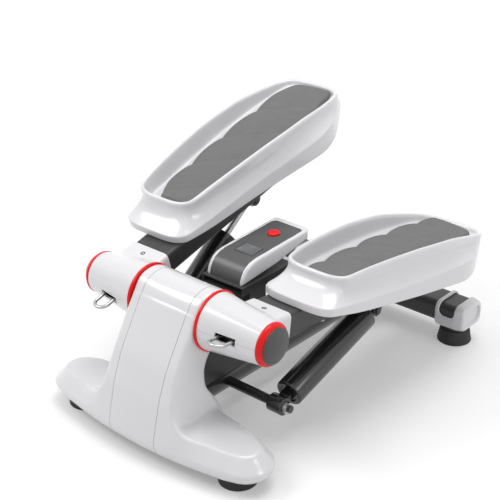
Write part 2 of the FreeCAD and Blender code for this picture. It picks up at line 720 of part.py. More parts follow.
def rocker():
    high, low = pad_height(right_angle), pad_height(left_angle)
    pivot_z = (high + low) / 2
    slope = (high - low) / (2 * arm_x)
    y = axle_y + rocker_y
    bore = round_bar("Y", rocker_pin + running_gap, (-rocker_half - 1, rocker_half + 1), 0, 0)
    plate = box((-arm_x - 8, arm_x + 8), (-rocker_half, rocker_half), (-beam_low, -beam_high))
    boss = round_bar("Y", rocker_hub, (-rocker_half, rocker_half), 0, 0)
    beam = cut(fuse(plate, boss), bore)
    domes = []
    for sign in (1, -1):
        ball = DOC.addObject("Part::Sphere", "Ball")
        ball.setExpression("Radius", pad_ball.formula)
        move(ball, sign * arm_x, 0, 0)
        domes.append(common(ball, box(span(sign, arm_x - 8, arm_x + 8), (-8, 8), (-beam_high, pad_ball + 2))))
    for piece, label in ((beam, "rocker_beam"), (group(*domes), "rocker_pads")):
        turn = f"rotation(vector(0; 1; 0); atan({slope.formula}))"
        piece.setExpression("Placement", f"placement(vector(0; {y.formula}; {pivot_z.formula}); {turn})")
        part(piece, label)

    ears = []
    reach = rocker_half + cover_gap + cheek
    for near in (-reach, rocker_half + cover_gap):
        run = (y + near, y + near + cheek)
        ears.append(box((-cheek_half, cheek_half), run, (spine_top, pivot_z)))
        ears.append(round_bar("Y", rocker_hub, run, 0, pivot_z))
    base = box((-cheek_half, cheek_half), (y - reach, y + reach), (spine_top, spine_top + cheek_base))
    pin = round_bar("Y", rocker_pin, (y - reach, y + reach), 0, pivot_z)
    part(fuse(base, pin, *ears), "rocker_bracket")


# ---- Console ----

def console_profile(name, half, drop, low_shift=0):
    """The console's side shape, with its upper surfaces moved in by drop."""
    front, rear = console_front + drop, console_rear - drop
    top, low = console_high - drop, console_low + low_shift
    return side_profile(
        name, (-half, half), (front, low), (front + 69, low + 7), (rear, low + 20), (rear, top),
        (front + 29, top - 5), (front + 8, low + 19, front, low))


def console():
    outside = console_profile("console_outside", console_half, Dim.of(0))
    skin = cut(console_profile("face_outside", face_half, Dim.of(0)),
               console_profile("face_inside", face_half + 1, face_thick, -0.5))
    face_end, wide = axle_y + console_rear - face_rear, console_half + 9
    tall = (console_low - 1, console_high + 1)
    skin = cut(skin, box((-wide, wide), (face_end, axle_y + console_rear + 5), tall))
    recess = cut(console_profile("recess_outside", face_half + seat_gap, -Dim.of(0.5)),
                 console_profile("recess_inside", face_half + 1, face_thick + seat_gap, -3))
    recess = cut(recess, box((-wide, wide), (face_end + seat_gap, axle_y + console_rear + 9), tall))
    room = console_profile("console_room", console_half - console_wall, console_wall + face_thick, -4)
    y = axle_y + button_y
    well = round_bar("Z", button_radius + cover_gap, (console_low + 25, console_high + 9), 0, y)
    part(cut(outside, recess, room, well), "console_body")

    middle, level = axle_y + screen_y, (console_high - 7, console_high + 5)
    pocket = box((screen_x - screen_half, screen_x + screen_half),
                 (middle - screen_depth, middle + screen_depth), level)
    part(cut(skin, pocket, well), "console_face")
    glass = console_profile("screen_body", face_half, Dim.of(0.3))
    glass = cut(glass, console_profile("screen_room", face_half + 1, face_thick, -0.5))
    half, depth = screen_half - seat_gap, screen_depth - seat_gap
    window = box((screen_x - half, screen_x + half), (middle - depth, middle + depth), level)
    part(common(glass, window), "console_screen")

    front, rear = console_front + console_wall + face_thick, console_rear - console_wall - face_thick
    base_half = console_half - console_wall - seat_gap
    low = console_low
    plate = side_profile("base_profile", (-base_half, base_half), (front + 1, low + 0.1),
                         (front + 65, low + 7), (rear - 1, low + 19.4), (rear - 1, low + 21.4),
                         (front + 65, low + 9), (front + 3, low + 2.4), (front + 1, low + 0.1))
    board_z = console_high - board_drop
    board_y = (axle_y + console_rear - board_front, axle_y + console_rear - board_rear)
    posts = [round_bar("Z", 3, (low + 12, board_z - board_thick - seat_gap), x, board_y[0] + 6)
             for x in (-15, 15)]
    part(fuse(plate, *posts), "console_base")
    part(box((-board_half, board_half), board_y, (board_z - board_thick, board_z)), "console_board")

    start, end = axle_y + tray_start, axle_y + tray_end
    tube = box((-tray_half, tray_half), (start, end), (tray_low, console_low - seat_gap))
    bore = box((steel_wall - tray_half, tray_half - steel_wall), (start - 1, end + 1),
               (tray_low + steel_wall, console_low - seat_gap - steel_wall))
    post = box((-stand_half, stand_half), (axle_y + stand_start, axle_y + stand_end), (spine_top, tray_low))
    part(cut(fuse(tube, post), bore), "console_stand")

    button = round_bar("Z", button_radius, (board_z + 2, console_high - 1.6 + button_rise), 0, y)
    part(button, "console_button")


# ---- Arms ----

def hub(label, sign, angle):
    """Everything that turns with an arm about the axle."""

    def finish(solid, name):
        return part(tilt(solid, axle_y, axle_z, angle), f"{label}_{name}")

    def band(centre, half):
        return span(sign, centre - half, centre + half)

    slope = (hub_large - hub_small) / (hub_end - hub_start)
    outer = side_bar(sign, hub_large, hub_start, hub_end, tip=hub_small)
    block = box(band(arm_x, arm_half + cover_gap + block_wall), (0, block_end),
                (-arm_low - block_wall, arm_high + block_wall))
    block = round_edges(block, block_round, lambda edge: along(edge, Vector(0, 1, 0)))
    inner = side_bar(sign, hub_large - hub_wall + slope, hub_start - 1, hub_end - hub_wall,
                     tip=hub_small - hub_wall + slope * hub_wall)
    tunnel = box(band(arm_x, arm_half + cover_gap), (arm_start - 12, block_end + 1),
                 (-arm_low - cover_gap, arm_high + cover_gap))
    mouth = side_bar(sign, rim_bore, hub_end - hub_wall - 1, hub_end + 1)
    slot = box(band(arm_x, slot_half), (-hub_large, -hub_small / 2), (-slot_rise, slot_rise))
    screw_y = block_end - screw_back
    sink_z = arm_high + block_wall - screw_sink
    screw_hole = round_bar("Z", screw_shank + seat_gap, (0, arm_high + 10), sign * arm_x, screw_y)
    sink = round_bar("Z", screw_head + 0.2, (sink_z, arm_high + 10), sign * arm_x, screw_y)
    cover = cut(fuse(outer, block), inner, tunnel, mouth, slot, screw_hole, sink)
    wide, deep = span(sign, 0, 200), (-60, 80)
    finish(common(cover, box(wide, deep, (seam / 2, 60))), "hub_upper_cover")
    finish(common(cover, box(wide, deep, (-60, -seam / 2))), "hub_lower_cover")

    head = round_bar("Z", screw_head, (sink_z, arm_high + block_wall + 0.3), sign * arm_x, screw_y)
    shank = round_bar("Z", screw_shank, (arm_high - 5, sink_z), sign * arm_x, screw_y)
    finish(fuse(head, shank), "hub_screw")

    ring = cut(side_bar(sign, ring_radius, hub_start - ring_width, hub_start),
               side_bar(sign, hub_large - 5, hub_start - ring_width - 1, hub_start + 1))
    finish(ring, "inner_ring")
    rim = cut(side_bar(sign, rim_radius, hub_end, hub_end + rim_width, tip=rim_small),
              side_bar(sign, rim_bore + seat_gap, hub_end - 1, hub_end + rim_width + 1))
    finish(rim, "outer_ring")

    face = hub_end + rim_width + seat_gap
    edge = 1.5
    bulge = cap_bulge - edge
    dome_radius = (rim_small * rim_small + bulge * bulge) / (2 * bulge)
    ball = DOC.addObject("Part::Sphere", "Ball")
    ball.setExpression("Radius", dome_radius.formula)
    move(ball, sign * (face + cap_bulge - dome_radius), 0, 0)
    dome = common(ball, side_bar(sign, rim_small, face, face + cap_bulge + 1))
    plug = side_bar(sign, rim_bore, hub_end + 1, face)
    hollow = side_bar(sign, rim_bore - 4, hub_end, face - 1)
    finish(cut(fuse(plug, dome), hollow), "end_cap")

    flange_near = hub_start - ring_width + cover_gap
    sleeve_start, sleeve_end = flange_near + flange, hub_end - 3 * flange
    bushes = []
    for near, far, lip in ((sleeve_start, sleeve_start + bush_length, flange_near),
                           (sleeve_end - bush_length, sleeve_end, sleeve_end)):
        sides = fuse(side_bar(sign, bush_radius, near, far),
                     side_bar(sign, sleeve_radius, lip, lip + flange))
        bushes.append(cut(sides, side_bar(sign, axle_radius + running_gap, near - 5, far + 5)))
    finish(group(*bushes), "hub_bushes")

    eye_y = -eye_reach
    legs = [round_bar("Y", eye_wire, (eye_y, -sleeve_radius + 1), sign * arm_x + at * eye_radius, 0)
            for at in (1, -1)]
    bend = DOC.addObject("Part::Torus", "Bend")
    bend.setExpression("Radius1", eye_radius.formula)
    bend.setExpression("Radius2", eye_wire.formula)
    bend.Angle3 = 180
    bend.Placement = Placement(Vector(), Rotation(Vector(0, 0, 1), 180))
    move(bend, sign * arm_x, eye_y, 0)
    clear = side_bar(sign, sleeve_radius + seat_gap, hub_start, hub_end)
    finish(cut(fuse(*legs, bend), clear), "d_ring")


BOLTS = [(across, reach) for reach in (130, 290) for across in (-18, 18)]


def arm(label, sign, angle):
    """The welded arm with its pivot sleeve and damper ears, and the bolts that it carries."""
    sleeve_start = hub_start - ring_width + cover_gap + flange
    sleeve_end = hub_end - 3 * flange
    sleeve = side_bar(sign, sleeve_radius, sleeve_start, sleeve_end)
    across = span(sign, arm_x - arm_half, arm_x + arm_half)
    tube = box(across, (arm_start, arm_length), (-arm_low, arm_high))
    room = box(span(sign, arm_x - arm_half + steel_wall, arm_x + arm_half - steel_wall),
               (sleeve_radius + 1, arm_length - steel_wall), (steel_wall - arm_low, arm_high - steel_wall))
    ear_low = -ear_drop - ear_below
    ears = box(span(sign, damper_x - ear_half, damper_x + ear_half),
               (ear_reach - ear_front, ear_reach + ear_rear), (ear_low, -arm_low))
    gap = box(span(sign, damper_x - ear_inside, damper_x + ear_inside),
              (ear_reach - ear_front - 6, ear_reach + ear_rear + 1), (ear_low - 1, -arm_low - 4))
    pin_hole = side_bar(sign, upper_pin + running_gap, damper_x - 20, damper_x + 20, ear_reach, -ear_drop)
    bore = side_bar(sign, bush_radius + running_gap, sleeve_start - 1, sleeve_end + 1)
    holes = [round_bar("Z", fixing_radius + seat_gap, (-arm_low - 1, arm_high + 1), sign * arm_x + at, reach)
             for at, reach in BOLTS]
    screw_hole = round_bar("Z", screw_shank + seat_gap, (arm_high - 4, arm_high + 1), sign * arm_x,
                           block_end - screw_back)
    welded = cut(fuse(sleeve, cut(tube, room), cut(ears, gap)), bore, pin_hole, screw_hole, *holes)
    part(tilt(welded, axle_y, axle_z, angle), f"{label}_arm_frame")

    bolts = [fuse(round_bar("Z", fixing_head, (-arm_low - 4, -arm_low), sign * arm_x + at, reach),
                  round_bar("Z", fixing_radius, (-arm_low, seat_height - 9), sign * arm_x + at, reach))
             for at, reach in BOLTS]
    part(tilt(group(*bolts), axle_y, axle_z, angle), f"{label}_pedal_bolts")
    pin = fuse(side_bar(sign, upper_pin, damper_x - pin_end, damper_x + pin_end, ear_reach, -ear_drop),
               side_bar(sign, pin_head, damper_x - pin_end, damper_x - ear_half, ear_reach, -ear_drop),
               side_bar(sign, pin_head, damper_x + ear_half, damper_x + pin_end, ear_reach, -ear_drop))
    part(tilt(pin, axle_y, axle_z, angle), f"{label}_damper_bolt")


# ---- Pedals: outlines as shares of a length from the front and of a half width ----

SKIRT = ((0, 0), (0.015, 0.5), (0.085, 0.75), (0.38, 0.81), (0.62, 0.95), (0.76, 1.0), (0.89, 0.85),
         (0.985, 0.6), (1, 0))
RIM = ((0.07, 0), (0.08, 0.46), (0.14, 0.7), (0.34, 0.85), (0.54, 0.94), (0.71, 0.91), (0.89, 0.76),
       (0.975, 0.52), (0.985, 0))
PAD = ((0, 0), (0.015, 0.5), (0.12, 0.88), (0.35, 0.95), (0.55, 1.0), (0.7, 1.0), (0.84, 0.92),
       (0.985, 0.66), (1, 0))
RIM_HEIGHTS = ((0, 59), (0.2, 66.5), (0.5, 68), (0.7, 63.5), (0.9, 51), (1.02, 43))
SKIRT_LOW = (15, -2)


def closed_curve(shares, front, length, half, level, x):
    """A smooth closed curve through outline points and their mirror image."""
    right = [Vector(x + half * across, front + length * reach, level) for reach, across in shares]
    left = [Vector(x - half * across, front + length * reach, level) for reach, across in shares[-2:0:-1]]
    curve = Part.BSplineCurve()
    curve.interpolate(right + left, PeriodicFlag=True)
    return Part.Wire(curve.toShape())


def pedal(label, sign, angle):
    """The pedal shell and its pad, shaped for the left side and mirrored for the right."""
    x, front, length, half = pedal_x.number, pedal_front.number, pedal_length.number, pedal_half.number

    def own_side(shape):
        return shape if sign > 0 else shape.mirror(Vector(), Vector(1, 0, 0))

    band, top, low = band_height.number, RIM_HEIGHTS[2][1], SKIRT_LOW[1] - 2

    def form(inset):
        """The pedal's walls, from the skirt's lower edge to the rim."""
        span_in = (front + inset, length - 2 * inset, half - inset)
        sections = [closed_curve(shape, *span_in, level, x)
                    for shape, level in ((SKIRT, low), (SKIRT, band), (RIM, top))]
        return Part.makeLoft(sections, True, True)

    def side_prism(points):
        wire = Part.makePolygon([Vector(x - half - 20, y, z) for y, z in points + points[:1]])
        return Part.Face(wire).extrude(Vector(2 * half + 40, 0, 0))

    above = side_prism([(front + length * share, height) for share, height in RIM_HEIGHTS]
                       + [(front + length * 1.02, top + 50), (front, top + 50)])
    below = side_prism([(front - 5, SKIRT_LOW[0]), (front + length + 5, SKIRT_LOW[1]),
                        (front + length + 5, low - 50), (front - 5, low - 50)])
    tall = 200
    wide = Part.makeBox(2 * half + 40, length + 40, tall, Vector(x - half - 20, front - 20, seat_height.number))
    under = wide.copy()
    under.translate(Vector(0, 0, -tall - pedal_skin.number))
    shell = form(0).cut(above).cut(below)
    shell = shell.cut(form(pedal_lip.number).common(wide))
    shell = shell.cut(form(pedal_skin.number).common(under))
    room = cover_gap.number
    arm_room = Part.makeBox(
        2 * (arm_half.number + room), arm_length.number, 60,
        Vector(arm_x.number - arm_half.number - room, 0, arm_high.number + seat_gap.number - 60))
    for across, reach in BOLTS:
        at = Vector(arm_x.number + across, reach, arm_high.number + seat_gap.number)
        boss = Part.makeCylinder(fixing_boss.number, seat_height.number - pedal_skin.number - at.z + 0.5, at)
        shell = shell.fuse(boss)
        bore = fixing_radius.number + running_gap.number
        shell = shell.cut(Part.makeCylinder(bore, seat_height.number - 8 - at.z, at))
    shell = shell.cut(arm_room)
    body = DOC.addObject("Part::Feature", "PedalShell")
    body.Shape = own_side(shell)
    part(tilt(body, axle_y, axle_z, angle), f"{label}_pedal_shell")

    base = seat_height.number + seat_gap.number
    sheet = closed_curve(PAD, pad_front.number, pad_length.number, pad_half.number, base, x)
    soft = DOC.addObject("Part::Feature", "PedalPad")
    soft.Shape = own_side(Part.Face(sheet).extrude(Vector(0, 0, pad_thick.number)))
    part(tilt(soft, axle_y, axle_z, angle), f"{label}_pedal_pad")


# ---- Dampers ----

def damper(label, sign, angle):
    """Barrel and rod along a line from the lower pivot to the upper one."""
    reach, drop = ear_reach, ear_drop
    rise = axle_z + reach * sine(angle) - drop * cosine(angle) - damper_z
    run = reach * cosine(angle) + drop * sine(angle) - damper_y
    length = hypotenuse(run, rise)
    y, z = axle_y + damper_y, damper_z
    lean = Dim(0, f"atan2({rise.formula}; {run.formula})")
    x = sign * damper_x

    body = round_bar("Y", damper_radius, (damper_start, damper_end), x, 0)
    neck = round_bar("Y", neck_radius, (lower_eye - 3, damper_start + 1), x, 0)
    eye = side_bar(sign, lower_eye, damper_x - lower_half, damper_x + lower_half)
    collar = round_bar("Y", collar_radius, (damper_end - 1, damper_end + collar_rise), x, 0)
    room = round_bar("Y", damper_bore, (damper_start + 6, damper_end - 6), x, 0)
    gland = round_bar("Y", rod_radius + running_gap, (damper_end - 7, damper_end + collar_rise + 1), x, 0)
    hole = side_bar(sign, lower_pin + running_gap, damper_x - lower_half - 1, damper_x + lower_half + 1)
    barrel = cut(fuse(body, neck, eye, collar), room, gland, hole)
    part(tilt(barrel, y, z, lean), f"{label}_damper_barrel")

    foot = length - rod_length
    stem = round_bar("Y", rod_radius, (foot + 3, length - upper_bore - 1), x, 0)
    piston = round_bar("Y", damper_bore - seat_gap, (foot, foot + piston_length), x, 0)
    top_eye = side_bar(sign, upper_eye, damper_x - upper_half, damper_x + upper_half, length, 0)
    top_bore = side_bar(sign, upper_bore, damper_x - upper_half - 1, damper_x + upper_half + 1, length, 0)
    part(tilt(cut(fuse(stem, piston, top_eye), top_bore), y, z, lean), f"{label}_damper_rod")


def build():
    casing()
    frame()
    rear_end()
    feet()
    damper_crossbar()
    rocker()
    console()
    for label, sign, angle in (("left", 1, left_angle), ("right", -1, right_angle)):
        hub(label, sign, angle)
        arm(label, sign, angle)
        pedal(label, sign, angle)
        damper(label, sign, angle)


def write():
    """Check every object, then write each sub-part."""
    DOC.recompute()
    for thing in DOC.Objects:
        if {"Invalid", "Error"} & set(thing.State):
            raise RuntimeError(f"{thing.Label} ({thing.Name}) failed")
    for thing in PARTS:
        shape = thing.Shape
        if shape.isNull() or not shape.isValid() or not shape.Solids:
            raise RuntimeError(f"{thing.Label} has no valid solid")
    os.makedirs("parts", exist_ok=True)
    for thing in PARTS:
        thing.Shape.exportStep(f"parts/{thing.Label}.step")
    whole = Part.makeCompound([thing.Shape for thing in PARTS]).BoundBox
    print(f"{len(PARTS)} sub-parts, box", whole)


build()
write()
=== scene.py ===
"""Mini stepper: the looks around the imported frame.

Lengths are millimetres inside the classes and metres in the scene. Each arm has a frame of its own:
x across the machine, u along the arm from the axle, w square to both.
"""

import json
import logging
import math
from dataclasses import dataclass
from enum import Enum
from typing import Callable, Sequence

import bmesh
import bpy
import numpy as np
from mathutils import Matrix, Vector


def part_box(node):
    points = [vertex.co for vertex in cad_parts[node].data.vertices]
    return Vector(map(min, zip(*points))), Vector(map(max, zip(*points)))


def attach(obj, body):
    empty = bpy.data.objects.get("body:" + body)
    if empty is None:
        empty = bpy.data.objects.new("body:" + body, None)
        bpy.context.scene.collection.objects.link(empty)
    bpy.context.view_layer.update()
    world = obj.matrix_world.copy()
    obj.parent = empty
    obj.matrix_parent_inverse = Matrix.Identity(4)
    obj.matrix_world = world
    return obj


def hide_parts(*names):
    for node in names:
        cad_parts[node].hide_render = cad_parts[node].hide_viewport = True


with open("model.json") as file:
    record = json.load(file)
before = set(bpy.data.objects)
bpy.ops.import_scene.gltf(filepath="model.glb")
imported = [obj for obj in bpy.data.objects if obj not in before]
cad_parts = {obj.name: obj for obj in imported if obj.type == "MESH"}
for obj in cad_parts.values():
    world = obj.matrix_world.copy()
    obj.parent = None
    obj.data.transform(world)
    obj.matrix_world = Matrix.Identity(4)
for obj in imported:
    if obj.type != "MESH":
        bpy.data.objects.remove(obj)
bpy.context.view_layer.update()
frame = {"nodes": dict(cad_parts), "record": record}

MM = 0.001
LOG = logging.getLogger("stepper")

Points = Sequence[tuple]
Mesh = tuple[list, list]
Field = Callable[[np.ndarray, np.ndarray, np.ndarray], np.ndarray]


# ---- Places ----


@dataclass(frozen=True)
class Place:
    """A local frame: its origin in the Y-Z plane and its turn about the X axis."""

    y: float
    z: float
    lift: float = 0.0

    def matrix(self) -> Matrix:
        """Local millimetres to scene metres."""
        turn = Matrix.Rotation(math.radians(self.lift), 4, "X")
        return Matrix.Translation((0, self.y * MM, self.z * MM)) @ turn @ Matrix.Scale(MM, 4)


def middle(node: str) -> Vector:
    """The middle of a frame node's box, in millimetres."""
    low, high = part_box(node)
    return (low + high) / 2 / MM


AXLE = middle("axle")
FLOOR = Place(AXLE.y, 0.0)


class Side(Enum):
    """The two sides of the machine: sign of X and the arm's lift at rest, in degrees."""

    LEFT = (1, -6.5)
    RIGHT = (-1, 15.0)

    @property
    def sign(self) -> int:
        """Sign of X on this side."""
        return self.value[0]

    @property
    def prefix(self) -> str:
        """Start of this side's node and piece names."""
        return self.name.lower()

    @property
    def arm_body(self) -> str:
        """The body that swings on this side."""
        return f"{self.prefix}_arm"

    @property
    def arm(self) -> Place:
        """The arm's own frame at rest."""
        return Place(AXLE.y, AXLE.z, self.value[1])


# ---- Curves and fields ----


class Profile:
    """A smooth curve through a few (position, value) knots.

    Args:
        knots: The positions and values, in order of position.
        soften: Width of the smoothing, in the same unit as the positions.
    """

    def __init__(self, knots: Points, soften: float = 6.0) -> None:
        """Sample the knots finely and smooth them."""
        at, value = np.array(knots, float).T
        self.at = np.linspace(at[0] - 3 * soften, at[-1] + 3 * soften, 600)
        step = self.at[1] - self.at[0]
        reach = max(1, int(2.5 * soften / step))
        bell = np.exp(-0.5 * (np.arange(-reach, reach + 1) * step / soften) ** 2)
        flat = np.interp(self.at, at, value)
        padded = np.pad(flat, reach, mode="edge")
        self.value = np.convolve(padded, bell / bell.sum(), mode="valid")

    def __call__(self, where: np.ndarray) -> np.ndarray:
        """The curve's value at each position."""
        return np.interp(where, self.at, self.value)


def soft_min(first: np.ndarray, second: np.ndarray, reach: np.ndarray | float) -> np.ndarray:
    """The lower of two fields, blended where they come within reach of each other.

    Args:
        first: One field's values.
        second: The other's.
        reach: Width of the blend.

    Returns:
        The blended values.
    """
    share = np.clip(0.5 + 0.5 * (second - first) / reach, 0, 1)
    return second + (first - second) * share - reach * share * (1 - share)


def soft_max(first: np.ndarray, second: np.ndarray, reach: np.ndarray | float) -> np.ndarray:
    """The higher of two fields, blended where they come within reach of each other."""
    return -soft_min(-first, -second, reach)


def ramp(value: np.ndarray, start: float, end: float) -> np.ndarray:
    """0 before start, 1 after end, and a smooth step between.

    Args:
        value: Where it is asked.
        start: Where it leaves 0.
        end: Where it reaches 1.

    Returns:
        The share.
    """
    share = np.clip((value - start) / (end - start), 0, 1)
    return share * share * (3 - 2 * share)


def round_box(spots: Sequence[np.ndarray], low: Sequence[float], high: Sequence[float],
              radius: float) -> np.ndarray:
    """Distance to a box with rounded edges.

    Args:
        spots: Coordinate arrays, two or three of them.
        low: Lowest corner.
        high: Highest corner.
        radius: Edge radius.

    Returns:
        The signed distance, negative inside.
    """
    gaps = [np.abs(s - (a + b) / 2) - ((b - a) / 2 - radius) for s, a, b in zip(spots, low, high)]
    outside = np.sqrt(sum(np.maximum(g, 0) ** 2 for g in gaps))
    return outside + np.minimum(np.maximum.reduce(gaps), 0) - radius


def polygon_distance(across: np.ndarray, up: np.ndarray, corners: Points) -> np.ndarray:
    """Signed distance to a closed polygon, negative inside.

    Args:
        across: First coordinates of the spots.
        up: Second coordinates of the spots.
        corners: The polygon's corners, in order.

    Returns:
        The signed distance, negative inside.
    """
    spot = np.stack([across, up], -1)
    best = np.full(across.shape, np.inf)
    inside = np.zeros(across.shape, bool)
    for start, end in zip(corners, list(corners[1:]) + [corners[0]]):
        start, end = np.array(start, float), np.array(end, float)
        edge, away = end - start, spot - start
        share = np.clip(away @ edge / (edge @ edge), 0, 1)
        best = np.minimum(best, np.linalg.norm(away - share[..., None] * edge, axis=-1))
        crosses = (start[1] > up) != (end[1] > up)
        with np.errstate(divide="ignore", invalid="ignore"):
            reach = (end[0] - start[0]) * (up - start[1]) / (end[1] - start[1]) + start[0]
        inside ^= crosses & (across < reach)
    return np.where(inside, -best, best)


def surface_of(field: Field, low: Sequence[float], high: Sequence[float], step: float) -> Mesh:
    """The zero surface of a field as quads.

    Args:
        field: Signed distance, negative inside.
        low: Lowest corner of the space to search.
        high: Highest corner of it.
        step: Size of a quad.

    Returns:
        Points and faces.
    """
    axes = [np.arange(a, b + step, step) for a, b in zip(low, high)]
    values = field(*np.meshgrid(*axes, indexing="ij"))
    cells = tuple(n - 1 for n in values.shape)
    total, count = np.zeros(cells + (3,)), np.zeros(cells)
    for axis in range(3):
        others = [a for a in range(3) if a != axis]
        for one in (0, 1):
            for two in (0, 1):
                near = [slice(0, c) for c in cells]
                near[others[0]] = slice(one, one + cells[others[0]])
                near[others[1]] = slice(two, two + cells[others[1]])
                far = list(near)
                far[axis] = slice(1, cells[axis] + 1)
                first, second = values[tuple(near)], values[tuple(far)]
                crossed = (first < 0) != (second < 0)
                share = np.where(crossed, first / np.where(crossed, first - second, 1), 0)
                spot = np.zeros(cells + (3,))
                spot[..., axis] = share
                spot[..., others[0]] = one
                spot[..., others[1]] = two
                total += spot * crossed[..., None]
                count += crossed
    used = count > 0
    number = np.full(cells, -1)
    number[used] = np.arange(used.sum())
    corner = np.stack(np.nonzero(used), -1)
    points = (corner + total[used] / count[used][:, None]) * step + np.array(low, float)
    faces = []
    for axis in range(3):
        others = [(axis + 1) % 3, (axis + 2) % 3]
        near = [slice(1, c) for c in cells]
        near[axis] = slice(0, cells[axis])
        far = list(near)
        far[axis] = slice(1, cells[axis] + 1)
        first, second = values[tuple(near)] < 0, values[tuple(far)] < 0
        for leaving in (True, False):
            at = np.stack(np.nonzero((first != second) & (first == leaving)), -1)
            at[:, others[0]] += 1
            at[:, others[1]] += 1
            ring = []
            for one, two in ((-1, -1), (0, -1), (0, 0), (-1, 0)):
                cell = at.copy()
                cell[:, others[0]] += one
                cell[:, others[1]] += two
                ring.append(number[tuple(cell.T)])
            faces.extend(zip(*(ring if leaving else ring[::-1])))
    for _ in range(4):
        points = pull_to_surface(field, points)
    return points.tolist(), [tuple(int(i) for i in face) for face in faces]


def pull_to_surface(field: Field, points: np.ndarray) -> np.ndarray:
    """Move points one Newton step towards a field's zero surface.

    Args:
        field: Signed distance.
        points: The points, one in each row.

    Returns:
        The moved points.
    """
    reach = 0.05
    here = field(*points.T)
    slope = np.zeros_like(points)
    for axis in range(3):
        nudge = np.zeros(3)
        nudge[axis] = reach
        slope[:, axis] = (field(*(points + nudge).T) - field(*(points - nudge).T)) / (2 * reach)
    steep = np.maximum((slope ** 2).sum(1), 0.2)
    return points - np.clip(here / steep, -1, 1)[:, None] * slope


def rounded(corners: Points, closed: bool = False, steps: int = 5) -> list:
    """A path whose corners are softened.

    Args:
        corners: (across, up) or (across, up, radius) points.
        closed: Whether the path joins its start.
        steps: Points along each softened corner.

    Returns:
        The path's points.
    """
    path = []
    last = len(corners) - 1
    for at, corner in enumerate(corners):
        here = np.array(corner[:2], float)
        radius = corner[2] if len(corner) > 2 else 0
        if not radius or (not closed and at in (0, last)):
            path.append(tuple(here))
            continue
        before = np.array(corners[at - 1][:2], float) - here
        after = np.array(corners[(at + 1) % len(corners)][:2], float) - here
        cut = min(radius, 0.49 * np.linalg.norm(before), 0.49 * np.linalg.norm(after))
        start = here + before / np.linalg.norm(before) * cut
        end = here + after / np.linalg.norm(after) * cut
        for share in np.linspace(0, 1, steps):
            spot = start * (1 - share) ** 2 + 2 * here * share * (1 - share) + end * share ** 2
            path.append(tuple(spot))
    return path


def lathe(path: Points, segments: int = 48, closed: bool = False) -> Mesh:
    """A form turned about the X axis from (along, radius) points.

    Args:
        path: The section. Points on the axis close its ends.
        segments: Points around.
        closed: Whether the section joins its start, as a ring's does.

    Returns:
        Points and faces.
    """
    points, faces, rings = [], [], []
    for along, radius in path:
        if radius < 1e-6:
            rings.append([len(points)] * segments)
            points.append((along, 0.0, 0.0))
            continue
        rings.append(list(range(len(points), len(points) + segments)))
        for at in range(segments):
            turn = math.tau * at / segments
            points.append((along, radius * math.cos(turn), radius * math.sin(turn)))
    pairs = list(zip(rings, rings[1:] + rings[:1])) if closed else list(zip(rings, rings[1:]))
    for near, far in pairs:
        for at in range(segments):
            after = (at + 1) % segments
            face = [near[at], near[after], far[after], far[at]]
            kept = [i for n, i in enumerate(face) if i not in face[:n]]
            if len(kept) > 2:
                faces.append(tuple(kept))
    return points, faces


def turned(mesh: Mesh, matrix: Matrix) -> Mesh:
    """A mesh's points moved by a matrix."""
    return [tuple(matrix @ Vector(p)) for p in mesh[0]], mesh[1]


def along_u(mesh: Mesh, x: float = 0, w: float = 0) -> Mesh:
    """A form turned about X laid along the arm instead."""
    return turned(mesh, Matrix.Translation((x, 0, w)) @ Matrix.Rotation(math.pi / 2, 4, "Z"))


def upright(mesh: Mesh, x: float = 0, y: float = 0, z: float = 0) -> Mesh:
    """A form turned about X stood on end."""
    return turned(mesh, Matrix.Translation((x, y, z)) @ Matrix.Rotation(-math.pi / 2, 4, "Y"))


def join(*meshes: Mesh) -> Mesh:
    """Several closed forms as one mesh.

    Args:
        meshes: The forms.

    Returns:
        Points and faces.
    """
    points, faces = [], []
    for more, shapes in meshes:
        start = len(points)
        points.extend(more)
        faces.extend(tuple(i + start for i in face) for face in shapes)
    return points, faces


def mirrored(mesh: Mesh, sign: int) -> Mesh:
    """The same mesh, or its mirror image across X = 0 where sign is -1."""
    if sign > 0:
        return mesh
    return [(-x, y, z) for x, y, z in mesh[0]], [tuple(face[::-1]) for face in mesh[1]]


def loft(rings: Sequence[Points], strips: bool = False) -> Mesh:
    """Quads between rings of equal count, with closed ends.

    Args:
        rings: The rings, in order.
        strips: Whether the ends are closed by quads across the ring, for rings that mirror themselves.

    Returns:
        Points and faces.
    """
    points = [tuple(p) for ring in rings for p in ring]
    count = len(rings[0])
    faces = []
    for at in range(len(rings) - 1):
        for n in range(count):
            after = (n + 1) % count
            base, above = at * count, (at + 1) * count
            faces.append((base + n, base + after, above + after, above + n))
    for first in (0, len(points) - count):
        if strips:
            half = count // 2
            faces.append((first, first + 1, first + count - 1))
            faces.append((first + half - 1, first + half, first + half + 1))
            faces += [(first + n, first + n + 1, first + count - n - 1, first + count - n)
                      for n in range(1, half - 1)]
        else:
            faces.append(tuple(range(first, first + count)))
    return points, faces


def bar(section: Points, start: float, end: float, soft: float = 0.8) -> Mesh:
    """A closed section, given as (x, w), run along u with softened ends.

    Args:
        section: The section's points.
        start: Where it begins.
        end: Where it ends.
        soft: Width of the softened edge at each end.

    Returns:
        Points and faces.
    """
    ring = np.array([p[:2] for p in section], float)
    centre = (ring.max(0) + ring.min(0)) / 2
    half = (ring.max(0) - ring.min(0)) / 2
    rings = []
    for at, inset in ((start, soft), (start + soft, 0), (end - soft, 0), (end, soft)):
        drawn = centre + (ring - centre) * (1 - inset / half)
        rings.append([(x, at, w) for x, w in drawn])
    return loft(rings)


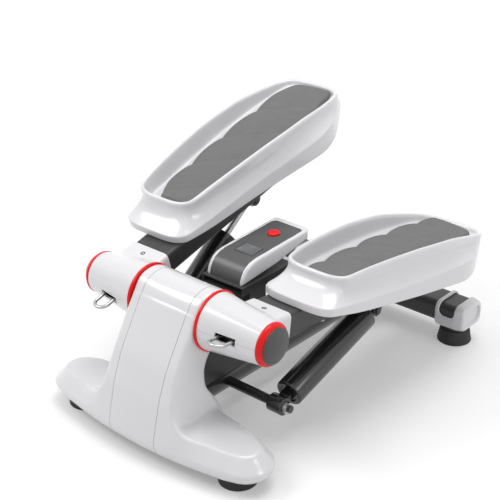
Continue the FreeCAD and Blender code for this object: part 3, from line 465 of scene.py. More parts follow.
def slab(top: Sequence[Points], bottom: Sequence[Points]) -> Mesh:
    """A closed sheet between two grids of points of equal size.

    Args:
        top: Rows of the upper grid.
        bottom: Rows of the lower grid.

    Returns:
        Points and faces.
    """
    points = [tuple(p) for grid in (top, bottom) for row in grid for p in row]
    rows, width = len(top), len(top[0])
    shift = rows * width
    faces = []
    for row in range(rows - 1):
        for n in range(width - 1):
            a, b = row * width + n, (row + 1) * width + n
            faces += [(a, a + 1, b + 1, b), (a + shift, b + shift, b + 1 + shift, a + 1 + shift)]
    border = list(range(width)) + [row * width + width - 1 for row in range(1, rows)]
    border += [(rows - 1) * width + n for n in range(width - 2, -1, -1)]
    border += [row * width for row in range(rows - 2, 0, -1)]
    faces += [(a, a + shift, b + shift, b) for a, b in zip(border, border[1:] + border[:1])]
    return points, faces


def closed_spline(knots: Points, count: int) -> np.ndarray:
    """A smooth closed curve through knots, one span of equal count between each two.

    Args:
        knots: The points it passes through.
        count: Points in all, a multiple of the knots.

    Returns:
        The curve's points.
    """
    spots = np.array(knots, float)
    number = len(spots)
    ties = 4 * np.eye(number) + np.roll(np.eye(number), 1, 0) + np.roll(np.eye(number), -1, 0)
    pull = np.linalg.solve(ties, 3 * (np.roll(spots, -1, 0) - np.roll(spots, 1, 0)))
    share = np.linspace(0, 1, count // number, endpoint=False)[:, None]
    curve = []
    for at in range(number):
        after = (at + 1) % number
        curve.append(spots[at] * (2 * share ** 3 - 3 * share ** 2 + 1)
                     + pull[at] * (share ** 3 - 2 * share ** 2 + share)
                     + spots[after] * (3 * share ** 2 - 2 * share ** 3)
                     + pull[after] * (share ** 3 - share ** 2))
    return np.concatenate(curve)


# ---- Node groups and finishes ----


def add_node(tree: bpy.types.NodeTree, kind: str, inputs: dict | None = None,
             **settings: object) -> bpy.types.Node:
    """A new node in a tree.

    Args:
        tree: The node tree.
        kind: The node's type.
        inputs: Each input's label or number, with its value or the output that feeds it.
        settings: The node's own properties.

    Returns:
        The node.
    """
    made = tree.nodes.new(kind)
    for label, value in settings.items():
        setattr(made, label, value)
    for label, source in (inputs or {}).items():
        if isinstance(source, bpy.types.NodeSocket):
            tree.links.new(source, made.inputs[label])
        else:
            made.inputs[label].default_value = source
    return made


class Groups:
    """Shader node groups that more than one finish uses, each built once."""

    built: dict[str, bpy.types.NodeTree] = {}

    @classmethod
    def start(cls, name: str, inputs: dict, outputs: dict) -> bpy.types.NodeTree:
        """An empty group with the given sockets, name to kind and default.

        Args:
            name: The group's name.
            inputs: Each input's kind and default.
            outputs: Each output's kind.

        Returns:
            The group's tree.
        """
        tree = bpy.data.node_groups.new(name, "ShaderNodeTree")
        for label, (kind, default) in inputs.items():
            socket = tree.interface.new_socket(label, in_out="INPUT", socket_type=kind)
            if default is not None:
                socket.default_value = default
        for label, kind in outputs.items():
            tree.interface.new_socket(label, in_out="OUTPUT", socket_type=kind)
        tree.nodes.new("NodeGroupInput").name = "In"
        tree.nodes.new("NodeGroupOutput").name = "Out"
        cls.built[name] = tree
        return tree

    @classmethod
    def tone(cls) -> bpy.types.NodeTree:
        """Slow unevenness of colour and gloss, as in a moulded or sprayed surface.

        Returns:
            The group's tree.
        """
        if "tone" in cls.built:
            return cls.built["tone"]
        tree = cls.start("tone", {
            "Color": ("NodeSocketColor", (0.8, 0.8, 0.8, 1)), "Amount": ("NodeSocketFloat", 0.05),
            "Roughness": ("NodeSocketFloat", 0.3), "Spread": ("NodeSocketFloat", 0.05),
            "Scale": ("NodeSocketFloat", 20.0),
        }, {"Color": "NodeSocketColor", "Roughness": "NodeSocketFloat", "Mask": "NodeSocketFloat"})
        inside, out = tree.nodes["In"].outputs, tree.nodes["Out"]
        where = add_node(tree, "ShaderNodeTexCoord").outputs["Object"]
        cloud = add_node(tree, "ShaderNodeTexNoise", {
            "Vector": where, "Scale": inside["Scale"], "Detail": 4.0, "Roughness": 0.55}).outputs["Fac"]
        mask = add_node(tree, "ShaderNodeMapRange", {
            "Value": cloud, "From Min": 0.3, "From Max": 0.7}).outputs["Result"]
        dim = add_node(tree, "ShaderNodeMath", {0: mask, 1: inside["Amount"]}, operation="MULTIPLY")
        keep = add_node(tree, "ShaderNodeMath", {0: 1.0, 1: dim.outputs[0]}, operation="SUBTRACT")
        shade = add_node(tree, "ShaderNodeVectorMath", {0: inside["Color"]}, operation="SCALE")
        tree.links.new(keep.outputs[0], shade.inputs["Scale"])
        tree.links.new(shade.outputs["Vector"], out.inputs["Color"])
        rough = add_node(tree, "ShaderNodeMath", {0: mask, 1: inside["Spread"], 2: inside["Roughness"]},
                         operation="MULTIPLY_ADD")
        tree.links.new(rough.outputs[0], out.inputs["Roughness"])
        tree.links.new(mask, out.inputs["Mask"])
        return tree

    @classmethod
    def grain(cls) -> bpy.types.NodeTree:
        """Fine height of a textured surface: cells for rubber and foam, noise for paint.

        Returns:
            The group's tree.
        """
        if "grain" in cls.built:
            return cls.built["grain"]
        tree = cls.start("grain", {
            "Scale": ("NodeSocketFloat", 600.0), "Cells": ("NodeSocketFloat", 0.5),
            "Stretch": ("NodeSocketVector", (1.0, 1.0, 1.0)),
        }, {"Height": "NodeSocketFloat"})
        inside, out = tree.nodes["In"].outputs, tree.nodes["Out"]
        where = add_node(tree, "ShaderNodeTexCoord").outputs["Object"]
        spot = add_node(tree, "ShaderNodeVectorMath", {0: where, 1: inside["Stretch"]},
                        operation="MULTIPLY").outputs["Vector"]
        noise = add_node(tree, "ShaderNodeTexNoise", {
            "Vector": spot, "Scale": inside["Scale"], "Detail": 3.0}).outputs["Fac"]
        cells = add_node(tree, "ShaderNodeTexVoronoi", {
            "Vector": spot, "Scale": inside["Scale"]}).outputs["Distance"]
        mix = add_node(tree, "ShaderNodeMix", {"Factor": inside["Cells"], "A": noise, "B": cells})
        tree.links.new(mix.outputs["Result"], out.inputs["Height"])
        return tree

    @classmethod
    def dust(cls) -> bpy.types.NodeTree:
        """A thin pale film on what faces up.

        Returns:
            The group's tree.
        """
        if "dust" in cls.built:
            return cls.built["dust"]
        tree = cls.start("dust", {
            "Color": ("NodeSocketColor", (0.5, 0.5, 0.5, 1)), "Amount": ("NodeSocketFloat", 0.05),
        }, {"Color": "NodeSocketColor"})
        inside, out = tree.nodes["In"].outputs, tree.nodes["Out"]
        normal = add_node(tree, "ShaderNodeNewGeometry").outputs["Normal"]
        up = add_node(tree, "ShaderNodeSeparateXYZ", {"Vector": normal}).outputs["Z"]
        where = add_node(tree, "ShaderNodeTexCoord").outputs["Object"]
        specks = add_node(tree, "ShaderNodeTexNoise", {
            "Vector": where, "Scale": 90.0, "Detail": 6.0}).outputs["Fac"]
        film = add_node(tree, "ShaderNodeMath", {0: up, 1: specks}, operation="MULTIPLY", use_clamp=True)
        share = add_node(tree, "ShaderNodeMath", {0: film.outputs[0], 1: inside["Amount"]},
                         operation="MULTIPLY")
        mix = add_node(tree, "ShaderNodeMix", {0: share.outputs[0], 6: inside["Color"],
                                               7: (0.62, 0.6, 0.57, 1)}, data_type="RGBA")
        tree.links.new(mix.outputs[2], out.inputs["Color"])
        return tree

    @classmethod
    def edge_wear(cls) -> bpy.types.NodeTree:
        """A lighter, rubbed tint along convex edges.

        Returns:
            The group's tree.
        """
        if "edge_wear" in cls.built:
            return cls.built["edge_wear"]
        tree = cls.start("edge_wear", {
            "Color": ("NodeSocketColor", (0.1, 0.1, 0.1, 1)),
            "Worn": ("NodeSocketColor", (0.4, 0.4, 0.4, 1)),
            "Amount": ("NodeSocketFloat", 0.3),
        }, {"Color": "NodeSocketColor"})
        inside, out = tree.nodes["In"].outputs, tree.nodes["Out"]
        sharp = add_node(tree, "ShaderNodeNewGeometry").outputs["Pointiness"]
        ridge = add_node(tree, "ShaderNodeMapRange", {
            "Value": sharp, "From Min": 0.53, "From Max": 0.62}).outputs["Result"]
        share = add_node(tree, "ShaderNodeMath", {0: ridge, 1: inside["Amount"]}, operation="MULTIPLY")
        mix = add_node(tree, "ShaderNodeMix", {0: share.outputs[0], 6: inside["Color"], 7: inside["Worn"]},
                       data_type="RGBA")
        tree.links.new(mix.outputs[2], out.inputs["Color"])
        return tree


@dataclass(frozen=True)
class Finish:
    """One material: its slot in the record, its colour and how its surface is worked."""

    slot: str
    colour: tuple[float, float, float]
    roughness: float = 0.3
    metallic: float = 0.0
    coat: float = 0.0
    coat_roughness: float = 0.05
    tone: float = 0.04
    tone_scale: float = 18.0
    spread: float = 0.04
    grain_scale: float = 500.0
    grain_depth: float = 0.05
    cells: float = 0.0
    stretch: tuple[float, float, float] = (1.0, 1.0, 1.0)
    dust: float = 0.03
    worn: tuple[float, float, float] | None = None
    specular: float = 0.5
    variant: str = ""

    def material(self) -> bpy.types.Material:
        """The finish as a node material, built at its first use.

        Returns:
            The material.
        """
        name = f"finish_{self.slot}{self.variant}"
        found = bpy.data.materials.get(name)
        if found:
            return found
        made = bpy.data.materials.new(name)
        made.use_nodes = True
        tree = made.node_tree
        shader = tree.nodes["Principled BSDF"]
        shader.inputs["Metallic"].default_value = self.metallic
        shader.inputs["Coat Weight"].default_value = self.coat
        shader.inputs["Coat Roughness"].default_value = self.coat_roughness
        shader.inputs["Specular IOR Level"].default_value = self.specular
        tone = add_node(tree, "ShaderNodeGroup", node_tree=Groups.tone())
        for label, value in (("Color", (*self.colour, 1)), ("Amount", self.tone),
                             ("Scale", self.tone_scale), ("Roughness", self.roughness),
                             ("Spread", self.spread)):
            tone.inputs[label].default_value = value
        colour = tone.outputs["Color"]
        if self.worn:
            wear = add_node(tree, "ShaderNodeGroup", node_tree=Groups.edge_wear())
            wear.inputs["Worn"].default_value = (*self.worn, 1)
            tree.links.new(colour, wear.inputs["Color"])
            colour = wear.outputs["Color"]
        dust = add_node(tree, "ShaderNodeGroup", node_tree=Groups.dust())
        dust.inputs["Amount"].default_value = self.dust
        tree.links.new(colour, dust.inputs["Color"])
        grain = add_node(tree, "ShaderNodeGroup", node_tree=Groups.grain())
        for label, value in (("Scale", self.grain_scale), ("Cells", self.cells), ("Stretch", self.stretch)):
            grain.inputs[label].default_value = value
        bump = add_node(tree, "ShaderNodeBump", {
            "Height": grain.outputs["Height"], "Strength": self.grain_depth, "Distance": 0.0004})
        tree.links.new(dust.outputs["Color"], shader.inputs["Base Color"])
        tree.links.new(tone.outputs["Roughness"], shader.inputs["Roughness"])
        tree.links.new(bump.outputs["Normal"], shader.inputs["Normal"])
        return made


WHITE = Finish("white_moulding", (0.80, 0.80, 0.82), 0.2, coat=0.6, tone=0.02, grain_depth=0.02,
               grain_scale=300, dust=0.02)
RED = Finish("red_ring", (0.86, 0.003, 0.002), 0.3, coat=0.15, tone=0.08, grain_depth=0.03, dust=0.0,
             specular=0.25)
CAP = Finish("dark_cap", (0.06, 0.061, 0.063), 0.3, tone=0.1, grain_depth=0.12, grain_scale=900, cells=0.3)
STEEL = Finish("black_steel", (0.022, 0.022, 0.023), 0.34, tone=0.2, spread=0.1, grain_depth=0.14,
               grain_scale=700, dust=0.04, worn=(0.09, 0.09, 0.09))
BARREL = Finish("black_steel", (0.012, 0.012, 0.013), 0.22, coat=0.5, tone=0.1, grain_depth=0.03, dust=0.02,
                variant="_gloss")
ZINC = Finish("bright_steel", (0.5, 0.5, 0.5), 0.24, metallic=1.0, tone=0.25, tone_scale=160, spread=0.12,
              grain_depth=0.1, stretch=(0.25, 1, 1), worn=(0.8, 0.8, 0.8))
CHROME = Finish("chrome_rod", (0.62, 0.62, 0.64), 0.14, metallic=1.0, tone=0.12, tone_scale=60,
                grain_depth=0.04, stretch=(1, 0.1, 1))
RUBBER = Finish("black_rubber", (0.02, 0.02, 0.02), 0.62, tone=0.2, spread=0.1, grain_depth=0.3,
                grain_scale=800, cells=0.6, dust=0.08)
PAD = Finish("grey_pad", (0.17, 0.17, 0.17), 0.72, tone=0.07, tone_scale=60, spread=0.08, grain_depth=0.35,
             grain_scale=1100, cells=0.8, dust=0.05, specular=0.3)
NYLON = Finish("nylon", (0.62, 0.6, 0.55), 0.45, tone=0.06, grain_depth=0.1)
CONSOLE = Finish("console_dark", (0.085, 0.086, 0.088), 0.3, tone=0.06, grain_depth=0.08, grain_scale=1200,
                 cells=0.4, dust=0.02)
GLASS = Finish("screen_glass", (0.1, 0.108, 0.112), 0.08, coat=1.0, tone=0.05, grain_depth=0.0, dust=0.01)
BOARD = Finish("circuit_board", (0.02, 0.14, 0.05), 0.45, tone=0.25, tone_scale=220, grain_depth=0.2,
               cells=0.5)
FINISHES = {finish.slot: finish for finish in (
    WHITE, RED, CAP, STEEL, ZINC, CHROME, RUBBER, PAD, NYLON, CONSOLE, GLASS, BOARD)}


# ---- Pieces ----


def settle(item: bpy.types.Object) -> None:
    """Apply the modifiers on an object to its mesh.

    Args:
        item: The object.
    """
    bpy.context.view_layer.update()
    graph = bpy.context.evaluated_depsgraph_get()
    final = bpy.data.meshes.new_from_object(item.evaluated_get(graph))
    item.modifiers.clear()
    item.data = final


def piece(name: str, mesh: Mesh | bpy.types.Mesh, place: Place, finish: Finish, body: str,
          replaces: Sequence[str] = (), sharp: float = 32.0, **modifiers: dict) -> bpy.types.Object:
    """One finished piece of the machine.

    Args:
        name: The piece's name.
        mesh: Points and faces in local millimetres, or a mesh already in them.
        place: The local frame.
        finish: Its material.
        body: The body it moves with.
        replaces: Frame nodes that it stands for.
        sharp: Angle above which an edge stays crisp, in degrees.
        modifiers: Kind of modifier and its settings, applied in order.

    Returns:
        The object.
    """
    if isinstance(mesh, bpy.types.Mesh):
        data = mesh
    else:
        data = bpy.data.meshes.new(name)
        data.from_pydata(mesh[0], [], mesh[1])
    work = bmesh.new()
    work.from_mesh(data)
    bmesh.ops.remove_doubles(work, verts=work.verts, dist=1e-4)
    bmesh.ops.recalc_face_normals(work, faces=work.faces)
    work.to_mesh(data)
    work.free()
    item = bpy.data.objects.new(name, data)
    bpy.context.scene.collection.objects.link(item)
    for kind, settings in modifiers.items():
        modifier = item.modifiers.new(kind, kind.split("_")[0].upper())
        for label, value in settings.items():
            setattr(modifier, label, value)
    if modifiers:
        settle(item)
    item.data.name = name
    item.data.transform(place.matrix())
    item.data.shade_smooth()
    item.data.set_sharp_from_angle(angle=math.radians(sharp))
    item.data.materials.clear()
    item.data.materials.append(finish.material())
    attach(item, body)
    if replaces:
        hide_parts(*replaces)
    LOG.info("%s rides on %s, %d faces", name, body, len(item.data.polygons))
    return item


def cut_open(mesh: Mesh, planes: Sequence[tuple]) -> bmesh.types.BMesh:
    """A working mesh with everything beyond each plane removed.

    Args:
        mesh: Points and faces.
        planes: (point, direction) pairs. What lies along the direction goes.

    Returns:
        The working mesh.
    """
    data = bpy.data.meshes.new("cut")
    data.from_pydata(mesh[0], [], mesh[1])
    work = bmesh.new()
    work.from_mesh(data)
    bpy.data.meshes.remove(data)
    for point, direction in planes:
        slice_at(work, point, direction, True)
    return work


def slice_at(work: bmesh.types.BMesh, point: Sequence[float], direction: Sequence[float],
             clear: bool) -> None:
    """Cut a working mesh along a plane, and drop what lies beyond it where clear is set.

    Args:
        work: The working mesh.
        point: A point of the plane.
        direction: The plane's normal.
        clear: Whether the far side goes.
    """
    bmesh.ops.bisect_plane(work, geom=work.verts[:] + work.edges[:] + work.faces[:], dist=1e-4,
                           plane_co=point, plane_no=direction, clear_outer=clear)


def finished(work: bmesh.types.BMesh, name: str) -> bpy.types.Mesh:
    """A working mesh as mesh data.

    Args:
        work: The working mesh, which is freed.
        name: The data's name.

    Returns:
        The mesh data.
    """
    data = bpy.data.meshes.new(name)
    work.to_mesh(data)
    work.free()
    return data


def wire(name: str, path: Points, radius: float) -> bpy.types.Mesh:
    """A bent round wire along a smooth path, as mesh data.

    Args:
        name: The data's name.
        path: The wire's middle line.
        radius: The wire's radius.

    Returns:
        The mesh data.
    """
    curve = bpy.data.curves.new(name, "CURVE")
    curve.dimensions = "3D"
    curve.bevel_depth = radius
    curve.bevel_resolution = 5
    curve.use_fill_caps = True
    spline = curve.splines.new("POLY")
    spline.points.add(len(path) - 1)
    for knot, spot in zip(spline.points, path):
        knot.co = (*spot, 1)
    item = bpy.data.objects.new(name, curve)
    bpy.context.scene.collection.objects.link(item)
    bpy.context.view_layer.update()
    made = bpy.data.meshes.new_from_object(item.evaluated_get(bpy.context.evaluated_depsgraph_get()))
    bpy.data.objects.remove(item)
    bpy.data.curves.remove(curve)
    return made


@dataclass
class ColumnCasing:
    """The white moulding on the floor: a column between two foot wings, in three shells."""

    tip_x: float = 144
    middle_y: float = -46
    tip_radius: float = 36
    half_depth: float = 52
    low: float = 18
    plateau: float = 57
    wing_start: float = 60
    wing_full: float = 118
    wing_end: float = 165
    wing_drop: float = 6
    nose_drop: float = 3
    tip_lean: float = 0.55
    column_top: float = 174
    barrel_radius: float = 38
    cover_top: float = 189.5
    cover_front: float = -70
    cover_back: float = -22
    tunnel_radius: float = 26.6
    tunnel_z: float = 48
    tunnel_front: float = -30
    tunnel_back: float = 4
    tunnel_high: float = 76
    seam: float = 38
    gap: float = 0.7
    wall: float = 2.6
    step: float = 2.5
    space: tuple = ((-190, -104, 8), (190, 46, 214))

    def __post_init__(self) -> None:
        """Work out the plan's large arcs and the upright curves."""
        rest = self.half_depth - self.tip_radius
        self.sweep = (self.tip_x ** 2 + self.half_depth ** 2 - self.tip_radius ** 2) / (2 * rest)
        self.centre = self.sweep - self.half_depth
        self.half_width = Profile(((18, 76), (40, 70), (60, 64), (88, 57), (124, 53.5), (210, 53.5)), 9)
        self.column_lean = Profile(((14, 8), (22, 2.5), (32, 0), (60, 6), (88, 12.5), (124, 26.6),
                                    (189.5, 65.4), (214, 80)), 5)
        self.wing_lean = Profile(((14, 9), (21, 3), (30, 0), (50, 12), (62, 22)), 3)
        self.column_back = Profile(((18, 2), (60, -4), (88, -22), (105, -22), (124, -14), (150, 12),
                                    (173, 36)), 6)

    def plan(self, x: np.ndarray, y: np.ndarray) -> np.ndarray:
        """Distance to the foot's outline seen from above, negative inside.

        Args:
            x: Distance from the middle of the machine.
            y: Distance behind the axle.

        Returns:
            The signed distance, negative inside.
        """
        away = np.abs(y - self.middle_y)
        arcs = np.hypot(x, away + self.centre) - self.sweep
        tips = np.hypot(x - self.tip_x, away) - self.tip_radius
        return np.where(x > self.tip_x / self.centre * (self.centre + away), tips, arcs)

    def wings(self, x: np.ndarray, y: np.ndarray, z: np.ndarray, lean: np.ndarray) -> np.ndarray:
        """Distance to the two foot wings, which lean in towards their crown.

        Args:
            x: Distance from the middle of the machine.
            y: Distance behind the axle.
            z: Height.
            lean: How far the flank leans in at that height.

        Returns:
            The signed distance, negative inside.
        """
        along = np.clip((x - self.wing_start) / (self.wing_end - self.wing_start), 0, 1)
        crown = self.plateau - self.wing_drop * along ** 2 - self.nose_drop * ramp(-y, 20, 90)
        behind = np.maximum(self.middle_y - y, 0)
        return soft_max(z - crown, self.plan(x, np.maximum(y, self.middle_y)) - behind + lean, 3)

    def column(self, x: np.ndarray, y: np.ndarray, z: np.ndarray) -> np.ndarray:
        """Distance to the column with the barrel on top that covers the axle.

        Args:
            x: Distance from the middle of the machine.
            y: Distance behind the axle.
            z: Height.

        Returns:
            The signed distance, negative inside.
        """
        stem = np.maximum(y - self.column_back(z), z - self.column_top)
        disc = np.hypot(y, z - AXLE.z) - self.barrel_radius
        cover = np.maximum(y - self.cover_back, z - self.cover_top)
        disc = soft_min(disc, np.maximum(cover, self.cover_front - y), 1)
        return soft_max(x - self.half_width(z), soft_min(stem, disc, 4), 4)

    def field(self, x: np.ndarray, y: np.ndarray, z: np.ndarray) -> np.ndarray:
        """Signed distance to the casing's outside, near enough for meshing.

        Args:
            x: Place across the machine.
            y: Distance behind the axle.
            z: Height.

        Returns:
            The signed distance, negative inside.
        """
        x = np.abs(x)
        outer = ramp(x, self.wing_start, self.wing_full)
        lean = self.wing_lean(z) * (1 + self.tip_lean * ramp(x, 130, 170))
        fillet = 30 - 25 * ramp(y, -88, -55)
        body = soft_min(self.wings(x, y, z, lean), self.column(x, y, z), fillet)
        lean = self.column_lean(z) * (1 - outer) + lean * outer
        ahead = np.maximum(y - self.middle_y, 0)
        front = self.plan(x, np.minimum(y, self.middle_y)) - ahead + lean
        shell = soft_max(body, front, 2.5 + 2.5 * ramp(z, 50, 90))
        from_tube = np.hypot(x, np.maximum(z - self.tunnel_z, 0))
        return np.maximum(shell, np.minimum(self.tunnel_radius - from_tube, y - self.tunnel_front))

    def build(self) -> None:
        """Mesh the outside, cut it into shells and give them their wall."""
        mesh = surface_of(self.field, *self.space, self.step)
        floor_cut = ((0, 0, self.low), (0, 0, -1))
        shells = {
            "left_casing": [((self.seam + self.gap, 0, 0), (-1, 0, 0))],
            "centre_panel": [((self.seam, 0, 0), (1, 0, 0)), ((-self.seam, 0, 0), (-1, 0, 0))],
            "right_casing": [((-self.seam - self.gap, 0, 0), (1, 0, 0))],
        }
        for node, planes in shells.items():
            work = cut_open(mesh, [floor_cut] + planes)
            inside = [f for f in work.faces if self.is_tunnel(f.calc_center_median())]
            bmesh.ops.delete(work, geom=inside, context="FACES")
            piece(f"{node}_shell", finished(work, node), FLOOR, WHITE, "base", [node], sharp=50,
                  solidify={"thickness": self.wall, "offset": -1.0})

    def is_tunnel(self, spot: Vector) -> bool:
        """Whether a point lies on the opening around the main tube."""
        near = math.hypot(spot.x, max(spot.z - self.tunnel_z, 0)) < self.tunnel_radius + 0.6
        return near and self.tunnel_front - 4 < spot.y < self.tunnel_back and spot.z < self.tunnel_high


@dataclass
class Hub:
    """The white cone that turns with an arm, with its rings, end cap, screw and D-ring."""

    side: Side
    start: float = 58
    end: float = 140
    large: float = 37.5
    small: float = 27.5
    arm_x: float = 98
    arm_half: float = 32
    block: tuple = (-14.6, 20.6)
    block_end: float = 50
    wall: float = 2.5
    slot_half: float = 14.5
    slot_rise: float = 5
    ring_width: float = 4
    ring_bore: float = 33
    ring_radius: float = 39.3
    band_width: float = 8.4
    band_bore: float = 20.2
    band_tip: float = 24.3
    dome_rise: float = 13.8
    dome_crown: float = 3.2
    dome_radius: float = 24
    loop_root: float = -17
    loop_reach: float = -44
    loop_bend: float = 10
    loop_wire: float = 2.25
    screw_radius: float = 4
    screw_recess: float = 1.5
    screw_inset: float = 13
    step: float = 1.8
    space: tuple = ((48, -44, -44), (150, 66, 44))

    def field(self, x: np.ndarray, u: np.ndarray, w: np.ndarray) -> np.ndarray:
        """Distance to the cone blended into the block behind it.

        Args:
            x: Place across the machine.
            u: Place along the arm.
            w: Place square to both.

        Returns:
            The signed distance, negative inside.
        """
        radius = self.large - (self.large - self.small) * (x - self.start) / (self.end - self.start)
        cone = np.hypot(u, w) - radius
        low = (self.arm_x - self.arm_half, -10, self.block[0])
        high = (self.arm_x + self.arm_half, self.block_end + 10, self.block[1])
        return soft_min(cone, round_box((x, u, w), low, high, 6), 5)

    def covers(self) -> None:
        """The upper and lower covers, open round the arm and the D-ring."""
        mesh = surface_of(self.field, *self.space, self.step)
        ends = [((self.start, 0, 0), (-1, 0, 0)), ((self.end, 0, 0), (1, 0, 0)),
                ((0, self.block_end, 0), (0, 1, 0))]
        for label, rise in (("upper", 1), ("lower", -1)):
            work = cut_open(mesh, ends + [((0, 0, 0.15 * rise), (0, 0, -rise))])
            for point, direction in (((self.arm_x - self.slot_half, 0, 0), (1, 0, 0)),
                                     ((self.arm_x + self.slot_half, 0, 0), (1, 0, 0)),
                                     ((0, 0, self.slot_rise * rise), (0, 0, 1))):
                slice_at(work, point, direction, False)
            gone = [f for f in work.faces if self.in_slot(f.calc_center_median())]
            bmesh.ops.delete(work, geom=gone, context="FACES")
            data = finished(work, label)
            if self.side.sign < 0:
                data.transform(Matrix.Scale(-1, 4, (1, 0, 0)))
                data.flip_normals()
            node = f"{self.side.prefix}_hub_{label}_cover"
            piece(f"{node}_shell", data, self.side.arm, WHITE, self.side.arm_body, [node], sharp=50,
                  solidify={"thickness": self.wall, "offset": -1.0})

    def in_slot(self, spot: Vector) -> bool:
        """Whether a point lies in the D-ring's slot."""
        return spot.y < 0 and abs(spot.x - self.arm_x) < self.slot_half and abs(spot.z) < self.slot_rise

    def rings(self) -> None:
        """The two red rings and the dark end cap."""
        body, prefix = self.side.arm_body, self.side.prefix
        near, far = self.start - self.ring_width, self.end + self.band_width
        inner = rounded(((near, self.ring_bore, 0.5), (near, self.ring_radius, 1.2),
                         (self.start, self.ring_radius, 1.2), (self.start, self.ring_bore, 0.5)), True)
        outer = rounded(((self.end + 0.1, self.band_bore, 0.4), (self.end + 0.1, self.small + 0.5, 1.5),
                         (self.end + 3.6, self.small + 0.4, 2.2), (far, self.band_tip, 1.8),
                         (far, self.band_bore, 0.4)), True)
        for node, path in (("inner_ring", inner), ("outer_ring", outer)):
            piece(f"{prefix}_{node}_band", mirrored(lathe(path, 96, True), self.side.sign), self.side.arm,
                  RED, body, [f"{prefix}_{node}"])
        plug = self.band_bore - 0.4
        cap = [(self.end + 1, 0), (self.end + 1, plug), (far - 0.2, plug)]
        cap += rounded(((far + 0.1, 20), (far + 0.1, 23.6, 0.5), (far + 1.3, 23.4, 1.0), (far + 2.2, 21)))
        for share in np.linspace(0.85, 0, 8):
            cap.append((self.end + self.dome_rise - self.dome_crown * share ** 2, self.dome_radius * share))
        piece(f"{prefix}_end_cap_dome", mirrored(lathe(cap, 96), self.side.sign), self.side.arm, CAP, body,
              [f"{prefix}_end_cap"])

    def fittings(self) -> None:
        """The D-ring and the cross-head screw."""
        prefix, bend = self.side.prefix, self.loop_bend
        path = [(self.arm_x + bend, self.loop_root, 0)]
        path += [(self.arm_x + bend * math.cos(turn), self.loop_reach - bend * math.sin(turn), 0)
                 for turn in np.linspace(0, math.pi, 25)]
        path += [(self.arm_x - bend, self.loop_root, 0)]
        ring = wire("d_ring", [(self.side.sign * x, u, w) for x, u, w in path], self.loop_wire)
        piece(f"{prefix}_d_ring_loop", ring, self.side.arm, ZINC, self.side.arm_body, [f"{prefix}_d_ring"])
        screw = cross_head(self.screw_radius, self.screw_recess)
        screw = turned(screw, Matrix.Translation(
            (self.side.sign * self.arm_x, self.block_end - self.screw_inset, self.block[1] + 0.5)))
        piece(f"{prefix}_hub_screw_head", screw, self.side.arm, STEEL, self.side.arm_body,
              [f"{prefix}_hub_screw"], sharp=40)

    def build(self) -> None:
        """All of the hub's pieces."""
        self.covers()
        self.rings()
        self.fittings()


def cross_head(radius: float, depth: float) -> Mesh:
    """A pan head with a cross recess, its top at z = 0.

    Args:
        radius: The head's radius.
        depth: The recess's depth.

    Returns:
        Points and faces.
    """
    count, rings, skirt = 48, 14, 2.2
    slot_half, slot_reach = 0.16 * radius, 0.66 * radius
    points, faces = [(0.0, 0.0, -depth)], []
    for ring in range(1, rings + 1):
        reach = radius * ring / rings
        for at in range(count):
            turn = math.tau * at / count
            x, y = reach * math.cos(turn), reach * math.sin(turn)
            arm = min(abs(x), abs(y))
            sunk = arm < slot_half and reach < slot_reach
            crown = -0.25 * radius * (reach / radius) ** 4
            points.append((x, y, -depth if sunk else crown))
    turns = [math.tau * at / count for at in range(count)]
    points += [(radius * math.cos(turn), radius * math.sin(turn), -skirt) for turn in turns]
    for at in range(count):
        faces.append((0, 1 + at, 1 + (at + 1) % count))
    for ring in range(rings):
        for at in range(count):
            after = (at + 1) % count
            near, far = 1 + ring * count, 1 + (ring + 1) * count
            faces.append((near + at, far + at, far + after, near + after))
    faces.append(tuple(range(1 + rings * count, 1 + (rings + 1) * count))[::-1])
    return points, faces


